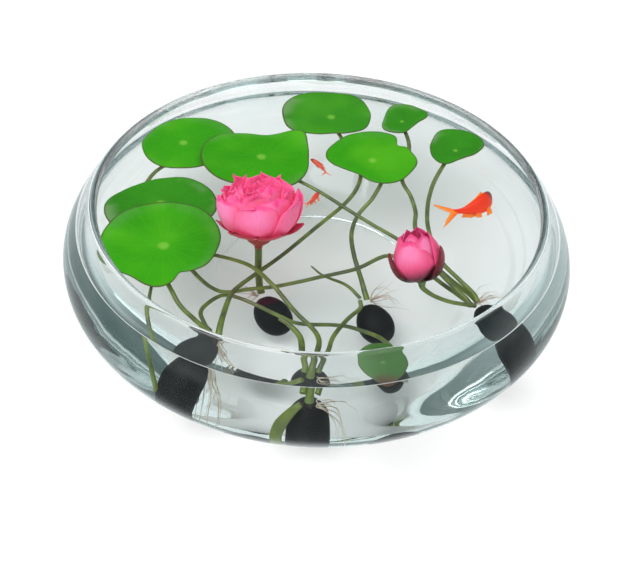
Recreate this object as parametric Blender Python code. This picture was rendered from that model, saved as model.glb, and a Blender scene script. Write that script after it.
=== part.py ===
# Lotus flower in bowl: a low glass bowl of water with floating lotus leaves,
# an open pink flower, a half-open bud, seeds on the floor and three goldfish.
# Lengths are in millimetres here and become metres in the meshes.
import math

import bmesh
import bpy
from mathutils import Euler, Matrix, Vector

MM = 0.001
GAP = 0.3  # clearance between neighbouring solids

# bowl
BOWL_RADIUS = 100.1  # the easing below takes the last tenth off
BOWL_HEIGHT = 65.0
WIDEST_FROM, WIDEST_TO = 36.5, 44.0
RIM_RADIUS = 88.3
FOOT_RADIUS = 46.0
FOOT_WIDTH = 5.0
FOOT_RECESS = 1.2
FLOOR_TOP = 4.6
FLOOR_RADIUS = 44.0
FLARE, BELLY, SHOULDER = 1.345, 1.2255, 1.325  # roundness of the side out, up and over
EASE = 0.30  # how far along the side its bends are averaged
# the wall's thickness on the way from the foot, 0, past the widest, 1, to the rim, 2
WALL = [(0.0, 3.6), (0.25, 3.0), (0.5, 2.0), (0.9, 2.1), (1.41, 2.6), (1.63, 3.2), (2.0, 3.6)]
BOWL_STEPS = 48

# water
WATER_TOP = 53.1
LEAF_THICK = 0.7
LEAF_LOW = WATER_TOP + GAP

# plants
STEM_RADIUS = 0.9
END_ROOM = 0.9  # how far the room in the water runs past a stem's end
CROWN_ROOM = 4.2
ROOT_RADII = (1.2, 1.6, 1.4, 0.6)
LOTUS_AT = (-22.5, -16.7, 53.4)
LOTUS_LEAN = (-20.0, 0.0)  # degrees about X, then about Y
BUD_AT = (39.5, -35.5, 54.4)
BUD_LEAN = (-20.0, -15.0)
PETAL_THICK = 0.5
SEED_LENGTH = 19.4
SEED_RADIUS = 7.2
SEED_TAPER = 0.06


for old in list(bpy.data.objects):
    bpy.data.objects.remove(old, do_unlink=True)


def material(name, colour, roughness, metallic=0.0, clear=0.0):
    mat = bpy.data.materials.new(name)
    mat.use_nodes = True
    shader = mat.node_tree.nodes["Principled BSDF"]
    shader.inputs["Base Color"].default_value = (*colour, 1.0)
    shader.inputs["Roughness"].default_value = roughness
    shader.inputs["Metallic"].default_value = metallic
    shader.inputs["Transmission Weight"].default_value = clear
    mat.diffuse_color = (*colour, 1.0 - 0.75 * clear)
    return mat


GLASS = material("clear_glass", (0.90, 0.94, 0.95), 0.02, clear=1.0)
WATER = material("water", (0.93, 0.97, 0.98), 0.01, clear=1.0)
LEAF = material("leaf_green", (0.07, 0.33, 0.02), 0.35)
LEAF_DARK = material("leaf_dark_green", (0.05, 0.25, 0.02), 0.35)
LEAF_YOUNG = material("leaf_young", (0.22, 0.34, 0.10), 0.5)
STEM = material("stem_olive", (0.13, 0.19, 0.04), 0.5)
SEED = material("seed_black", (0.014, 0.018, 0.018), 0.6)
ROOT = material("root_pale", (0.50, 0.48, 0.40), 0.7)
PINK = material("petal_pink", (0.90, 0.18, 0.42), 0.45)
CRIMSON = material("petal_crimson", (0.55, 0.02, 0.06), 0.45)
MAGENTA = material("bud_magenta", (0.80, 0.07, 0.28), 0.45)
MAROON = material("bud_maroon", (0.20, 0.02, 0.04), 0.45)
FISH = material("fish_orange", (0.85, 0.12, 0.01), 0.35)
FISH_RED = material("fish_red", (0.70, 0.05, 0.02), 0.35)


def addObject(name, bm, mat, smooth=True):
    bmesh.ops.recalc_face_normals(bm, faces=bm.faces)
    mesh = bpy.data.meshes.new(name)
    bm.to_mesh(mesh)
    bm.free()
    for face in mesh.polygons:
        face.use_smooth = smooth
    mesh.materials.append(mat)
    obj = bpy.data.objects.new(name, mesh)
    bpy.context.collection.objects.link(obj)
    return obj


def asCutter(obj):
    obj.hide_render = True
    obj.display_type = "WIRE"
    return obj


def bezier(points, s):
    a, b, c = points
    return tuple((1 - s) ** 2 * u + 2 * s * (1 - s) * v + s * s * w for u, v, w in zip(a, b, c))


# bowl and water

def sidePoint(t):
    """Outside of the bowl: t from 0 at the foot to 1 at the widest, then to 2 at the rim."""
    if t <= 1.0:
        angle = 0.5 * math.pi * t
        r = FOOT_RADIUS + (BOWL_RADIUS - FOOT_RADIUS) * math.sin(angle) ** FLARE
        return r, WIDEST_FROM * (1.0 - max(math.cos(angle), 0.0) ** BELLY)
    z = WIDEST_FROM + (BOWL_HEIGHT - WIDEST_FROM) * (t - 1.0)
    over = max(z - WIDEST_TO, 0.0) / (BOWL_HEIGHT - WIDEST_TO)
    return BOWL_RADIUS - (BOWL_RADIUS - RIM_RADIUS) * over ** SHOULDER, z


def outerPoint(t):
    """The same with every bend eased by averaging the points to either side."""
    t = min(max(t, 0.0), 2.0)
    reach = EASE * t * t * (2.0 - t)
    near = [(1.0 + math.cos(math.pi * k / 12), sidePoint(t + reach * k / 12)) for k in range(-11, 12)]
    total = sum(weight for weight, point in near)
    r = sum(weight * point[0] for weight, point in near) / total
    z = sum(weight * point[1] for weight, point in near) / total
    return r, z


def wallAt(t):
    for (a, thin), (b, thick) in zip(WALL, WALL[1:]):
        if t <= b:
            s = max(t - a, 0.0) / (b - a)
            return thin + (thick - thin) * s * s * (3 - 2 * s)
    return WALL[-1][1]


def innerPoint(t, extra=0.0):
    """The outside moved in by the wall and some more, square to the surface."""
    (ra, za), (rb, zb) = outerPoint(t - 0.01), outerPoint(t + 0.01)
    length = math.hypot(rb - ra, zb - za)
    r, z = outerPoint(t)
    depth = wallAt(t) + extra
    return r - depth * (zb - za) / length, z + depth * (rb - ra) / length


def innerRadiusAt(height, extra=0.0):
    low, high = 0.05, 1.9
    for _ in range(40):
        mid = 0.5 * (low + high)
        if innerPoint(mid, extra)[1] < height:
            low = mid
        else:
            high = mid
    return innerPoint(0.5 * (low + high), extra)[0]


def lathe(name, profile, mat):
    """Spin a profile of (r, z) points that starts and ends on the axis."""
    bm = bmesh.new()
    line = [bm.verts.new((r * MM, 0.0, z * MM)) for r, z in profile]
    edges = [bm.edges.new(pair) for pair in zip(line, line[1:])]
    bmesh.ops.spin(bm, geom=line + edges, cent=(0, 0, 0), axis=(0, 0, 1),
                   angle=2 * math.pi, steps=BOWL_STEPS)
    bmesh.ops.remove_doubles(bm, verts=bm.verts, dist=1e-6)
    return addObject(name, bm, mat)


INNER_STEPS = [0.22, 0.34, 0.48, 0.64, 0.82, 1.0, 1.2, 1.42, 1.62, 1.8]
OUTER_STEPS = [0.0, 0.14, 0.28, 0.42, 0.56, 0.72, 0.86, 1.0, 1.15, 1.32, 1.5, 1.7, 1.88]


def bowlProfile():
    outside = [outerPoint(t) for t in OUTER_STEPS]
    inside = [innerPoint(t) for t in INNER_STEPS]
    rimIn = RIM_RADIUS - WALL[-1][1]
    rim = [
        (RIM_RADIUS + 0.1, BOWL_HEIGHT - 1.0),
        (RIM_RADIUS - 0.7, BOWL_HEIGHT - 0.2),
        (0.5 * (RIM_RADIUS + rimIn), BOWL_HEIGHT),
        (rimIn + 0.7, BOWL_HEIGHT - 0.2),
        (rimIn, BOWL_HEIGHT - 1.2),
    ]
    recess = FOOT_RADIUS - FOOT_WIDTH
    foot = [(0.0, FOOT_RECESS), (recess - 2.0, FOOT_RECESS), (recess, 0.0)]
    floor = [(FLOOR_RADIUS, FLOOR_TOP), (0.0, FLOOR_TOP)]
    return foot + outside + rim + inside[::-1] + floor


def waterProfile():
    side = [innerPoint(t, GAP) for t in INNER_STEPS]
    side = [point for point in side if point[1] < WATER_TOP - 1.0]
    top = [(innerRadiusAt(WATER_TOP, GAP), WATER_TOP), (0.0, WATER_TOP)]
    return [(0.0, FLOOR_TOP + GAP), (FLOOR_RADIUS, FLOOR_TOP + GAP)] + side + top


lathe("glass_bowl", bowlProfile(), GLASS)
water = lathe("water", waterProfile(), WATER)
cutters = []


# stems and roots

def smoothRoute(points, count):
    """Catmull-Rom curve through the points, resampled to count points."""
    path = [Vector(p) for p in points]
    path = [path[0] * 2 - path[1]] + path + [path[-1] * 2 - path[-2]]
    dense = []
    for a, b, c, d in zip(path, path[1:], path[2:], path[3:]):
        for k in range(10):
            t = k / 10
            dense.append(0.5 * (2 * b + (c - a) * t + (2 * a - 5 * b + 4 * c - d) * t * t
                                + (3 * b - a - 3 * c + d) * t ** 3))
    dense.append(path[-2])
    pick = [round(k * (len(dense) - 1) / (count - 1)) for k in range(count)]
    return [dense[k] for k in pick]


def tube(name, route, radii, mat):
    curve = bpy.data.curves.new(name, "CURVE")
    curve.dimensions = "3D"
    curve.bevel_depth = 1.0 * MM
    curve.bevel_resolution = 2
    curve.render_resolution_u = 0
    curve.use_fill_caps = True
    spline = curve.splines.new("POLY")
    spline.points.add(len(route) - 1)
    for k, (where, radius) in enumerate(zip(route, radii)):
        spline.points[k].co = (where.x * MM, where.y * MM, where.z * MM, 1.0)
        spline.points[k].radius = radius
    curve.materials.append(mat)
    obj = bpy.data.objects.new(name, curve)
    bpy.context.collection.objects.link(obj)
    return obj


def grownTube(name, points, radii, mat, count=12):
    """A tube through the points, and a slightly fatter cutter where it is under water."""
    route = smoothRoute(points, count)
    if points[0][2] > WATER_TOP - 1.0:
        route.insert(1, route[0] - Vector((0.0, 0.0, 1.3)))  # meets its leaf upright
    count = len(route)
    span = [k * (len(radii) - 1) / (count - 1) for k in range(count)]
    along = [radii[int(s)] + (radii[min(int(s) + 1, len(radii) - 1)] - radii[int(s)]) * (s - int(s))
             for s in span]
    tube(name, route, along, mat)
    first = (route[0] - route[1]).normalized() * END_ROOM
    last = (route[-1] - route[-2]).normalized() * END_ROOM
    longer = [route[0] + first] + route[1:-1] + [route[-1] + last]
    fat = tube(name + "_fat", longer, [r + GAP for r in along], mat)
    bpy.context.view_layer.update()
    solid = bpy.data.meshes.new_from_object(fat.evaluated_get(bpy.context.evaluated_depsgraph_get()))
    bpy.data.objects.remove(fat, do_unlink=True)
    cut = bpy.data.objects.new("cut_" + name, solid)
    bpy.context.collection.objects.link(cut)
    cutters.append(asCutter(cut))


# each stem runs from the underside of its leaf down to a seed's crown
STEMS = {
    "stem_a": [(-54.5, 46, 52.9), (-62, 37, 50), (-69, 29, 47), (-73, 8, 46), (-68, -14, 47),
               (-58, -32, 47.5), (-54, -39, 45), (-50, -46, 42.5), (-44, -51, 39), (-38.0, -55.2, 35.0)],
    "stem_b": [(-27.5, 38, 52.9), (-18, 34, 51.5), (-11, 30, 50), (0, 23, 48), (10, 15.8, 45),
               (21.5, 7.6, 42), (32.5, 0.5, 39), (44, -9, 35.5), (53, -20, 35), (59.8, -29.4, 36.4), (62, -32.6, 36.4)],
    "stem_c": [(-62, 7, 52.9), (-58, -6, 47), (-49, -21, 39), (-37, -29.3, 31.5), (-24, -26, 30),
               (-14, -23, 29), (1, -17, 29), (16, -11.5, 30), (27.5, -4, 31.5), (38, -7, 31),
               (49, -18, 30), (57.6, -30, 33.8), (60.2, -33, 34.9)],
    "stem_d": [(-59, -20.5, 52.9), (-48, -19.5, 50), (-37, -19.5, 46.5), (-28.4, -20, 43),
               (-22.5, -22.5, 40.3), (-16, -28, 36), (-7, -40.5, 33), (-0.5, -48, 32),
               (2, -54, 32), (1.6, -61, 33), (0.2, -67.4, 33.6), (-0.4, -70.2, 31.6), (-0.5, -70.9, 28.6)],
    "stem_e": [(3, 72, 52.9), (10, 55, 50), (16.5, 40, 47), (15, 29, 43.5), (9.5, 19.4, 41),
               (0, 6.8, 40), (-14.1, -12, 38.3), (-22.7, -21.3, 36.8), (-29.8, -29.2, 35.3),
               (-32.6, -35, 34.5), (-34.3, -45, 34), (-34.9, -52.3, 34.4), (-35.1, -55.4, 33.4)],
    "stem_f": [(21.5, 42, 52.9), (26, 35, 50), (22, 25, 42.5), (16, 17, 37), (13.5, 8, 31),
               (15, -1, 25.5), (18, -12, 21.5), (19.6, -18.6, 19.4), (20.3, -21.3, 17.9)],
    "stem_g": [(34, 70, 52.9), (37, 54, 51), (33.5, 34, 49.5), (36.9, 24.4, 46.5), (39, 15, 44.5),
               (38.7, 5.5, 43), (42.7, -10.9, 41.5), (50.5, -23.3, 40), (57.4, -31.3, 37.4), (58.9, -35, 35.6)],
    "stem_h": [(55, 50, 52.9), (50.7, 42, 51), (46.5, 31.6, 49), (44, 19, 47), (43.6, 4.4, 45.5),
               (47.5, -12.5, 43.5), (54, -22.6, 42.3), (60, -29.8, 39.9), (61.4, -33.2, 38.7)],
    "stem_young": [(-38.4, -52.3, 33.2), (-41, -47, 30.4), (-43, -38, 28.5), (-36, -29, 27.6),
                   (-29, -30, 27.6), (-20, -34.5, 27), (-12.6, -37.8, 25), (-5.3, -39.9, 23),
                   (9.9, -38, 20.5), (18, -40.4, 20.5), (26, -46, 22.5), (31, -57, 28),
                   (30, -67, 37), (26, -74, 46), (24.7, -75.9, 48.8)],
    "runner": [(17.6, -22.6, 18.4), (17.6, -28.8, 21.5), (13, -38, 26.5), (7.5, -49.8, 29),
               (5.6, -60, 32), (3.6, -67.0, 33.6), (2.8, -70.2, 32.0)],
    "shoot_mid": [(-13, -44, 33), (-9.6, -46.5, 32.5), (-5, -53, 32), (-3.8, -62, 33),
                  (-2.9, -68.0, 33.8), (-3.4, -70.4, 32.5)],
    "shoot_left": [(-52.4, -64.8, 28.6), (-55, -67.5, 36.5), (-58, -63, 44.5), (-61, -50, 48.5),
                   (-61, -40, 50), (-60.5, -33, 52.5)],
    "spike": [(-2, -7, 24), (3, -11, 22), (12, -13.5, 18.4), (17.7, -19.9, 16.9)],
    "shoot_loop": [(-3.4, -72.6, 29.4), (-7.3, -73.2, 26.0), (-10.3, -73.2, 23.0), (-11.6, -72.2, 19.6),
                   (-11.2, -69.0, 17.2), (-9.6, -65.2, 16.2)],
}
STEM_RADII = {
    "stem_d": (0.9, 0.9, 0.9, 0.95, 1.0, 1.25, 1.6), "stem_e": (0.9, 0.9, 0.9, 1.0, 1.4),
    "stem_f": (0.9, 0.9, 0.9, 1.0, 1.3), "shoot_mid": (1.0, 1.25, 1.1), "shoot_left": (0.9, 0.8, 0.5),
    "spike": (0.35, 0.7, 0.8), "shoot_loop": (1.1, 1.4, 1.8, 2.0, 1.8, 1.2),
}

for stemName, stemPoints in STEMS.items():
    wide = STEM_RADII.get(stemName, (STEM_RADIUS, STEM_RADIUS, 1.05))
    steps = 10 if len(stemPoints) < 10 else 14 if len(stemPoints) < 13 else 18
    grownTube(stemName, stemPoints, wide, STEM, count=steps)


def leaning(at, lean):
    turn = Euler((math.radians(lean[0]), math.radians(lean[1]), 0.0)).to_matrix().to_4x4()
    return Matrix.Translation(Vector(at)) @ turn


# the two flower stems widen into the base that carries the petals
LOTUS_PLACE = leaning(LOTUS_AT, LOTUS_LEAN)
BUD_PLACE = leaning(BUD_AT, BUD_LEAN)
grownTube("stem_lotus",
          [(-21.0, -20.4, 18.6), (-21.9, -18.4, 22), (-22.3, -17.4, 30), (-22.5, -16.9, 38),
           (-22.5, -17.6, 51.4)] + [LOTUS_PLACE @ Vector((0, 0, high)) for high in (0.0, 2.0, 3.6)],
          (1.5, 1.4, 1.4, 1.4, 1.4, 1.7, 4.2, 4.5), CRIMSON, count=15)
grownTube("stem_bud",
          [(59.7, -35.6, 38.3), (57, -37, 40.6), (50.5, -38, 44), (44.5, -37.5, 47.5),
           (40.3, -36, 51)] + [BUD_PLACE @ Vector((0, 0, high)) for high in (0.0, 0.6, 1.5)],
          (1.0, 1.0, 1.0, 1.0, 1.1, 1.5, 2.2, 2.3), STEM, count=15)

# the root tuft of each seed, as one tapering body
TUFTS = {
    "roots_1": [(-32.6, -58.8, 30.4), (-31.4, -60.8, 25), (-31, -61.5, 18), (-31, -61, 12)],
    "roots_2": [(-24.0, -22.6, 18.4), (-26, -21.5, 18.3), (-28.5, -21, 16.5), (-31, -22.5, 13.5)],
    "roots_3": [(23.3, -20.9, 17.3), (27, -18.8, 18.5), (31, -18, 19.5), (36, -21, 17)],
    "roots_4": [(2.2, -73.4, 29.6), (5.5, -73.6, 30.6), (9.5, -72, 28.5), (12.5, -70.5, 23.5), (14, -69, 18)],
    "roots_5": [(63.4, -32.0, 36.4), (66, -30.5, 37.2), (69, -29.5, 36.6), (73, -31.5, 35)],
}
for tuftName, tuftPoints in TUFTS.items():
    grownTube(tuftName, tuftPoints, ROOT_RADII, ROOT, count=7)


# seeds

def seedMesh(grow):
    bm = bmesh.new()
    bmesh.ops.create_uvsphere(bm, u_segments=10, v_segments=7, radius=1.0)
    for vert in bm.verts:
        radius = (SEED_RADIUS * (1.0 - SEED_TAPER * vert.co.z) + grow) * MM
        vert.co = Vector((vert.co.x * radius, vert.co.y * radius,
                          vert.co.z * (0.5 * SEED_LENGTH + grow) * MM))
    return bm


# centre, then the tilt of the long axis about X and Y in degrees
SEEDS = {
    "seed_1": ((-42.8, -60.0, 26.2), (-20, 50)),
    "seed_2": ((-16.0, -29.5, 13.1), (-53, -48)),
    "seed_3": ((23.7, -31.5, 12.9), (-62, -44)),
    "seed_4": ((-0.5, -67.5, 18.6), (20, 0)),
    "seed_5": ((68.3, -39.5, 29.7), (-35, -47)),
}
for seedName, (centre, tilt) in SEEDS.items():
    place = leaning(Vector(centre) * MM, tilt)
    addObject(seedName, seedMesh(0.0), SEED).matrix_world = place
    cut = addObject("cut_" + seedName, seedMesh(GAP), SEED)
    cut.matrix_world = place
    cutters.append(asCutter(cut))
    # the water leaves one open room round each crown, where seed, roots and stems meet
    bm = bmesh.new()
    bmesh.ops.create_icosphere(bm, subdivisions=2, radius=CROWN_ROOM * MM)
    room = addObject("cut_crown_" + seedName, bm, ROOT)
    room.location = place @ Vector((0.0, 0.0, 0.5 * SEED_LENGTH * MM))
    cutters.append(asCutter(room))


# leaves

def leafReach(angle, spec):
    """Distance from the middle to the edge: a smooth curve through the reaches, with notches."""
    reach = spec["reach"]
    turn = (angle / (2 * math.pi)) % 1.0 * len(reach)
    k, f = int(turn), turn - int(turn)
    a, b, c, d = (reach[(k + step) % len(reach)] for step in (-1, 0, 1, 2))
    smooth = 0.5 * (2 * b + (c - a) * f + (2 * a - 5 * b + 4 * c - d) * f * f
                    + (3 * b - a - 3 * c + d) * f ** 3)
    factor = 1.0
    for at, width, size in spec.get("bumps", ()):
        away = math.remainder(angle - math.radians(at), 2 * math.pi)
        factor += size * math.exp(-(away / math.radians(width)) ** 2)
    return smooth * factor


def leafHeight(x, y, rho, angle, spec):
    tiltX, tiltY = spec.get("tilt", (0.0, 0.0))
    height = tiltX * x + tiltY * y
    height += 0.25 * rho * rho * (1.0 + math.sin(3 * angle + spec["reach"][0]))
    for at, width, rise in spec.get("curl", ()):
        turn = math.remainder(angle - math.radians(at), 2 * math.pi)
        height += rise * rho ** 3 * math.exp(-(turn / math.radians(width)) ** 2)
    if "fold" in spec:
        along, steep = spec["fold"]
        across = -x * math.sin(math.radians(along)) + y * math.cos(math.radians(along))
        height += steep * (math.sqrt(across * across + 1.0) - 1.0) * (1.0 if across > 0 else 0.35)
    return height


def leaf(name, spec, mat, around=24, rings=(0.55, 1.0)):
    cx, cy = spec["at"]
    middle = sum(spec["reach"]) / len(spec["reach"])
    grid = [[(0.0, 0.0, leafHeight(0.0, 0.0, 0.0, 0.0, spec))]]
    for rho in rings:
        ring = []
        for k in range(around):
            angle = 2 * math.pi * k / around
            reach = rho * (middle + (leafReach(angle, spec) - middle) * rho)
            x, y = reach * math.cos(angle), reach * math.sin(angle)
            ring.append((x, y, leafHeight(x, y, rho, angle, spec)))
        grid.append(ring)
    lowest = min(z for ring in grid for _, _, z in ring)
    base = spec.get("low", LEAF_LOW) - lowest
    bm = bmesh.new()
    sheets = []
    for thick in (0.0, LEAF_THICK):
        sheets.append([[bm.verts.new(((cx + x) * MM, (cy + y) * MM, (z + base + thick) * MM))
                        for x, y, z in ring] for ring in grid])
    for rows in sheets:
        for k in range(around):
            n = (k + 1) % around
            bm.faces.new((rows[0][0], rows[1][k], rows[1][n]))
            for inner, outer in zip(rows[1:], rows[2:]):
                bm.faces.new((inner[k], outer[k], outer[n], inner[n]))
    low, high = sheets[0][-1], sheets[1][-1]
    for k in range(around):
        n = (k + 1) % around
        bm.faces.new((low[k], low[n], high[n], high[k]))
    return addObject(name, bm, mat)


# reach: millimetres from the middle to the edge, every 30 degrees from +X
LEAVES = {
    "leaf_a": {"at": (-57.5, 47.5), "reach": (21.5, 22.5, 20.5, 17.8, 16.5, 16, 17, 17.5, 19, 17.5, 18, 20)},
    "leaf_b": {"at": (-24.5, 38.5),
               "reach": (19.5, 20.5, 17.5, 15.5, 17.5, 22.5, 25, 24.5, 22.5, 20.5, 21.5, 21),
               "tilt": (-0.065, 0.0), "bumps": [(46, 13, 0.22)], "curl": [(46, 24, 3.5)]},
    "leaf_c": {"at": (-62.5, 6.0), "reach": (22.5, 21.5, 19.5, 16.5, 15.5, 17, 21, 23, 22, 19, 19, 21)},
    "leaf_d": {"at": (-58.5, -21.5),
               "reach": (20.8, 23.5, 25, 24.5, 24.5, 25, 24.5, 23, 20.8, 22.5, 17.5, 19.5),
               "tilt": (0.0, 0.055), "bumps": [(-62, 9, -0.10)], "curl": [(90, 60, 0.6)]},
    "leaf_e": {"at": (3.7, 71.0), "reach": (17, 18, 19.5, 18.5, 21, 22.5, 20.8, 20, 14.5, 12, 13.5, 16)},
    "leaf_f": {"at": (21.3, 40.5),
               "reach": (18.5, 17.5, 20, 20, 19.5, 19, 19, 12.8, 10.8, 14.3, 16.4, 16.8),
               "tilt": (0.0, 0.035), "bumps": [(46, 9, -0.20)]},
    "leaf_g": {"at": (34.0, 70.0), "reach": (7.5, 13, 11.5, 10, 9, 7.8, 8, 9.8, 10.5, 9.5, 6.5, 6),
               "fold": (30, 0.30)},
    "leaf_h": {"at": (56.0, 50.5), "reach": (10, 14.2, 13, 11.8, 12, 11, 10.7, 11.2, 11.8, 7.5, 6.5, 7.5),
               "fold": (25, 0.25)},
}
DARK_LEAVES = ("leaf_c", "leaf_e", "leaf_g", "leaf_h")
for leafName, leafSpec in LEAVES.items():
    leaf(leafName, leafSpec, LEAF_DARK if leafName in DARK_LEAVES else LEAF)

# the young leaf lies just under the water near the front
YOUNG = {"at": (0.0, 0.0), "reach": (8.8, 9.0, 9.6, 10, 9.6, 9.0, 8.8, 9.0, 10, 11.6, 10, 9.0),
         "fold": (90, 0.12), "low": 0.0}
YOUNG_PLACE = Matrix.Translation(Vector((24.5, -76.0, 50.0)) * MM) @ Euler(
    (math.radians(-5.0), 0.0, math.radians(6.0))).to_matrix().to_4x4()
young = leaf("leaf_young", YOUNG, LEAF_YOUNG, around=16, rings=(0.5, 1.0))
young.matrix_world = YOUNG_PLACE
youngCut = young.copy()
youngCut.data = young.data.copy()
youngCut.name = "cut_leaf_young"
bpy.context.collection.objects.link(youngCut)
for vert, normal in [(v, v.normal.copy()) for v in youngCut.data.vertices]:
    vert.co += normal * 1.35 * GAP * MM
cutters.append(asCutter(youngCut))


# flowers

WIDEST_SHARE = 0.55  # how far up a petal is widest


def petal(name, place, turn, spread, shape, mat, rows=6, across=4):
    """A curved plate on the bowl-shaped surface that the shape's three (r, z) points give."""
    bm = bmesh.new()
    half = 0.5 * PETAL_THICK
    sheets = []
    for side in (-half, half):
        sheet = []
        for i in range(rows + 1):
            s = i / rows
            r, z = bezier(shape, s)
            ra, za = bezier(shape, s - 0.01)
            rb, zb = bezier(shape, s + 0.01)
            length = math.hypot(rb - ra, zb - za)
            r += side * (zb - za) / length
            z -= side * (rb - ra) / length
            width = spread * (0.55 + 0.45 * math.sin(math.pi * min(s * 0.9 + 0.05, 1.0)))
            if s > WIDEST_SHARE:
                width *= max(1.0 - ((s - WIDEST_SHARE) / 0.46) ** 2.2, 0.04)
            angles = [turn + width * (2 * j / across - 1) for j in range(across + 1)]
            sheet.append([bm.verts.new((place @ Vector((r * math.cos(a), r * math.sin(a), z))) * MM)
                          for a in angles])
        sheets.append(sheet)
    for sheet in sheets:
        for low, high in zip(sheet, sheet[1:]):
            for j in range(across):
                bm.faces.new((low[j], low[j + 1], high[j + 1], high[j]))
    inner, outer = sheets
    loops = []
    for sheet in (inner, outer):
        loops.append(sheet[0] + [row[-1] for row in sheet[1:]] + sheet[-1][-2::-1]
                     + [row[0] for row in sheet[-2:0:-1]])
    loopIn, loopOut = loops
    for k in range(len(loopIn)):
        n = (k + 1) % len(loopIn)
        bm.faces.new((loopIn[k], loopIn[n], loopOut[n], loopOut[k]))
    return addObject(name, bm, mat)


def heart(name, place, shape, ridges, mat, steps=6, around=16):
    """The closed middle of a flower: a ribbed egg."""
    bm = bmesh.new()
    bottom = bm.verts.new((place @ Vector((0.0, 0.0, shape[0][1]))) * MM)
    rows = []
    for i in range(steps + 1):
        r, z = bezier(shape, i / steps)
        ripple = ridges * i / steps
        row = []
        for k in range(around):
            reach = r * (1 - ripple * (k % 4 == 0))
            angle = 2 * math.pi * k / around
            point = Vector((reach * math.cos(angle), reach * math.sin(angle), z))
            row.append(bm.verts.new((place @ point) * MM))
        rows.append(row)
    top = bm.verts.new((place @ Vector((0.0, 0.0, shape[2][1] + 0.8))) * MM)
    for k in range(around):
        n = (k + 1) % around
        bm.faces.new((bottom, rows[0][k], rows[0][n]))
        bm.faces.new((top, rows[-1][k], rows[-1][n]))
        for low, high in zip(rows, rows[1:]):
            bm.faces.new((low[k], low[n], high[n], high[k]))
    return addObject(name, bm, mat)


# name, headings in degrees, half the spread in radians, profile and material
LOTUS_RINGS = [
    ("outer", (0, 60, 120, 180, 240, 300), 0.40, ((5.3, 2.6), (12.0, 5.0), (16.8, 8.8)), CRIMSON),
    ("inner", (28, 92, 150, 208, 268, 330), 0.46, ((4.4, 4.4), (17.2, 5.4), (15.4, 21.2)), PINK),
]
BUD_RINGS = [
    ("outer", (-18, 100, 197), 0.55, ((3.8, 1.2), (13.6, 4.6), (11.2, 15.6)), MAROON),
    ("inner", (15, 137, 256), 0.88, ((3.2, 2.0), (14.6, 5.4), (5.6, 19.6)), MAGENTA),
]
for prefix, place, rings in (("lotus", LOTUS_PLACE, LOTUS_RINGS), ("bud", BUD_PLACE, BUD_RINGS)):
    for ringName, headings, spread, shape, mat in rings:
        for k, heading in enumerate(headings):
            petal(f"{prefix}_petal_{ringName}_{k + 1}", place, math.radians(heading), spread, shape, mat)
heart("lotus_heart", LOTUS_PLACE, ((3.0, 5.0), (15.2, 6.4), (12.4, 24.8)), 0.10, PINK)
heart("bud_heart", BUD_PLACE, ((2.0, 2.5), (11.6, 3.8), (3.2, 20.4)), 0.08, MAGENTA)


# goldfish

# stations along the body from nose to tail root: distance, half height, half width (of the length)
FISH_BODY = [
    (0.00, 0.035, 0.026), (0.06, 0.090, 0.060), (0.18, 0.134, 0.080), (0.30, 0.140, 0.082),
    (0.44, 0.112, 0.062), (0.58, 0.070, 0.038), (0.70, 0.044, 0.020),
]
BODY_END = 0.74
TAIL_ROOT = 0.70
TAIL_MIDDLE = Vector((-0.255, 0.080, -0.015))  # from the tail's root to between its two tips
TAIL_HALF = Vector((0.095, 0.210, 0.045))  # from there to the far tip
TAIL_THIN = Vector((0.0, 0.0, -0.016))


def fishMesh(fish, grow, around=10):
    """A body bowed to its right and rolled over to its left, with a flat forked tail."""
    length = fish["length"]
    roll = math.radians(fish["roll"])
    half = 0.5 * BODY_END
    up = Vector((0.0, math.sin(roll), math.cos(roll)))
    out = Vector((0.0, math.cos(roll), -math.sin(roll)))

    def spine(at):
        return Vector((0.5 - at, -fish["bend"] * (1.0 - ((at - half) / half) ** 2), 0.0)) * length

    rings = []
    for at, high, wide in FISH_BODY:
        middle = spine(at) + Vector((grow if at == 0.0 else 0.0, 0.0, 0.0))
        rings.append((middle, up * (high * fish["deep"] * length + grow), out * (wide * length + grow)))
    for share in (0.5, 1.0):
        middle = spine(TAIL_ROOT) + TAIL_MIDDLE * share * length
        middle.x -= grow if share == 1.0 else 0.0
        tall = TAIL_HALF * share * length
        thin = TAIL_THIN * length
        rings.append((middle, tall + tall.normalized() * grow, thin + thin.normalized() * grow))
    bm = bmesh.new()
    rows = []
    for middle, tall, wide in rings:
        turns = [2 * math.pi * k / around for k in range(around)]
        rows.append([bm.verts.new((middle + wide * math.cos(a) + tall * math.sin(a)) * MM) for a in turns])
    for low, high in zip(rows, rows[1:]):
        for k in range(around):
            n = (k + 1) % around
            bm.faces.new((low[k], low[n], high[n], high[k]))
    bm.faces.new(rows[0])
    bm.faces.new(rows[-1])
    return bm


# roll, heading in degrees; bend and deep are the bow of the spine and a factor on the height
FISHES = {
    "goldfish": {"at": (59.1, 17.4, 49.7), "heading": 41.0, "length": 27.0, "roll": 38.0, "bend": 0.13,
                 "deep": 1.15, "mat": FISH},
    "small_fish_1": {"at": (0.2, 36.5, 52.0), "heading": 125.0, "length": 14.5, "roll": 25.0, "bend": 0.04,
                     "deep": 0.8, "mat": FISH_RED},
    "small_fish_2": {"at": (-3.2, 14.5, 52.2), "heading": 62.0, "length": 12.0, "roll": 25.0, "bend": 0.03,
                     "deep": 0.8, "mat": FISH_RED},
}
for fishName, fish in FISHES.items():
    for name, grow in ((fishName, 0.0), ("cut_" + fishName, GAP)):
        body = addObject(name, fishMesh(fish, grow), fish["mat"])
        body.location = Vector(fish["at"]) * MM
        body.rotation_euler = (0.0, 0.0, math.radians(fish["heading"]))
        if grow:
            cutters.append(asCutter(body))


# room in the water

for cut in cutters:
    room = water.modifiers.new(cut.name, "BOOLEAN")
    room.operation = "DIFFERENCE"
    room.solver = "EXACT"
    room.object = cut
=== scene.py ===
import math
import random

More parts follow.
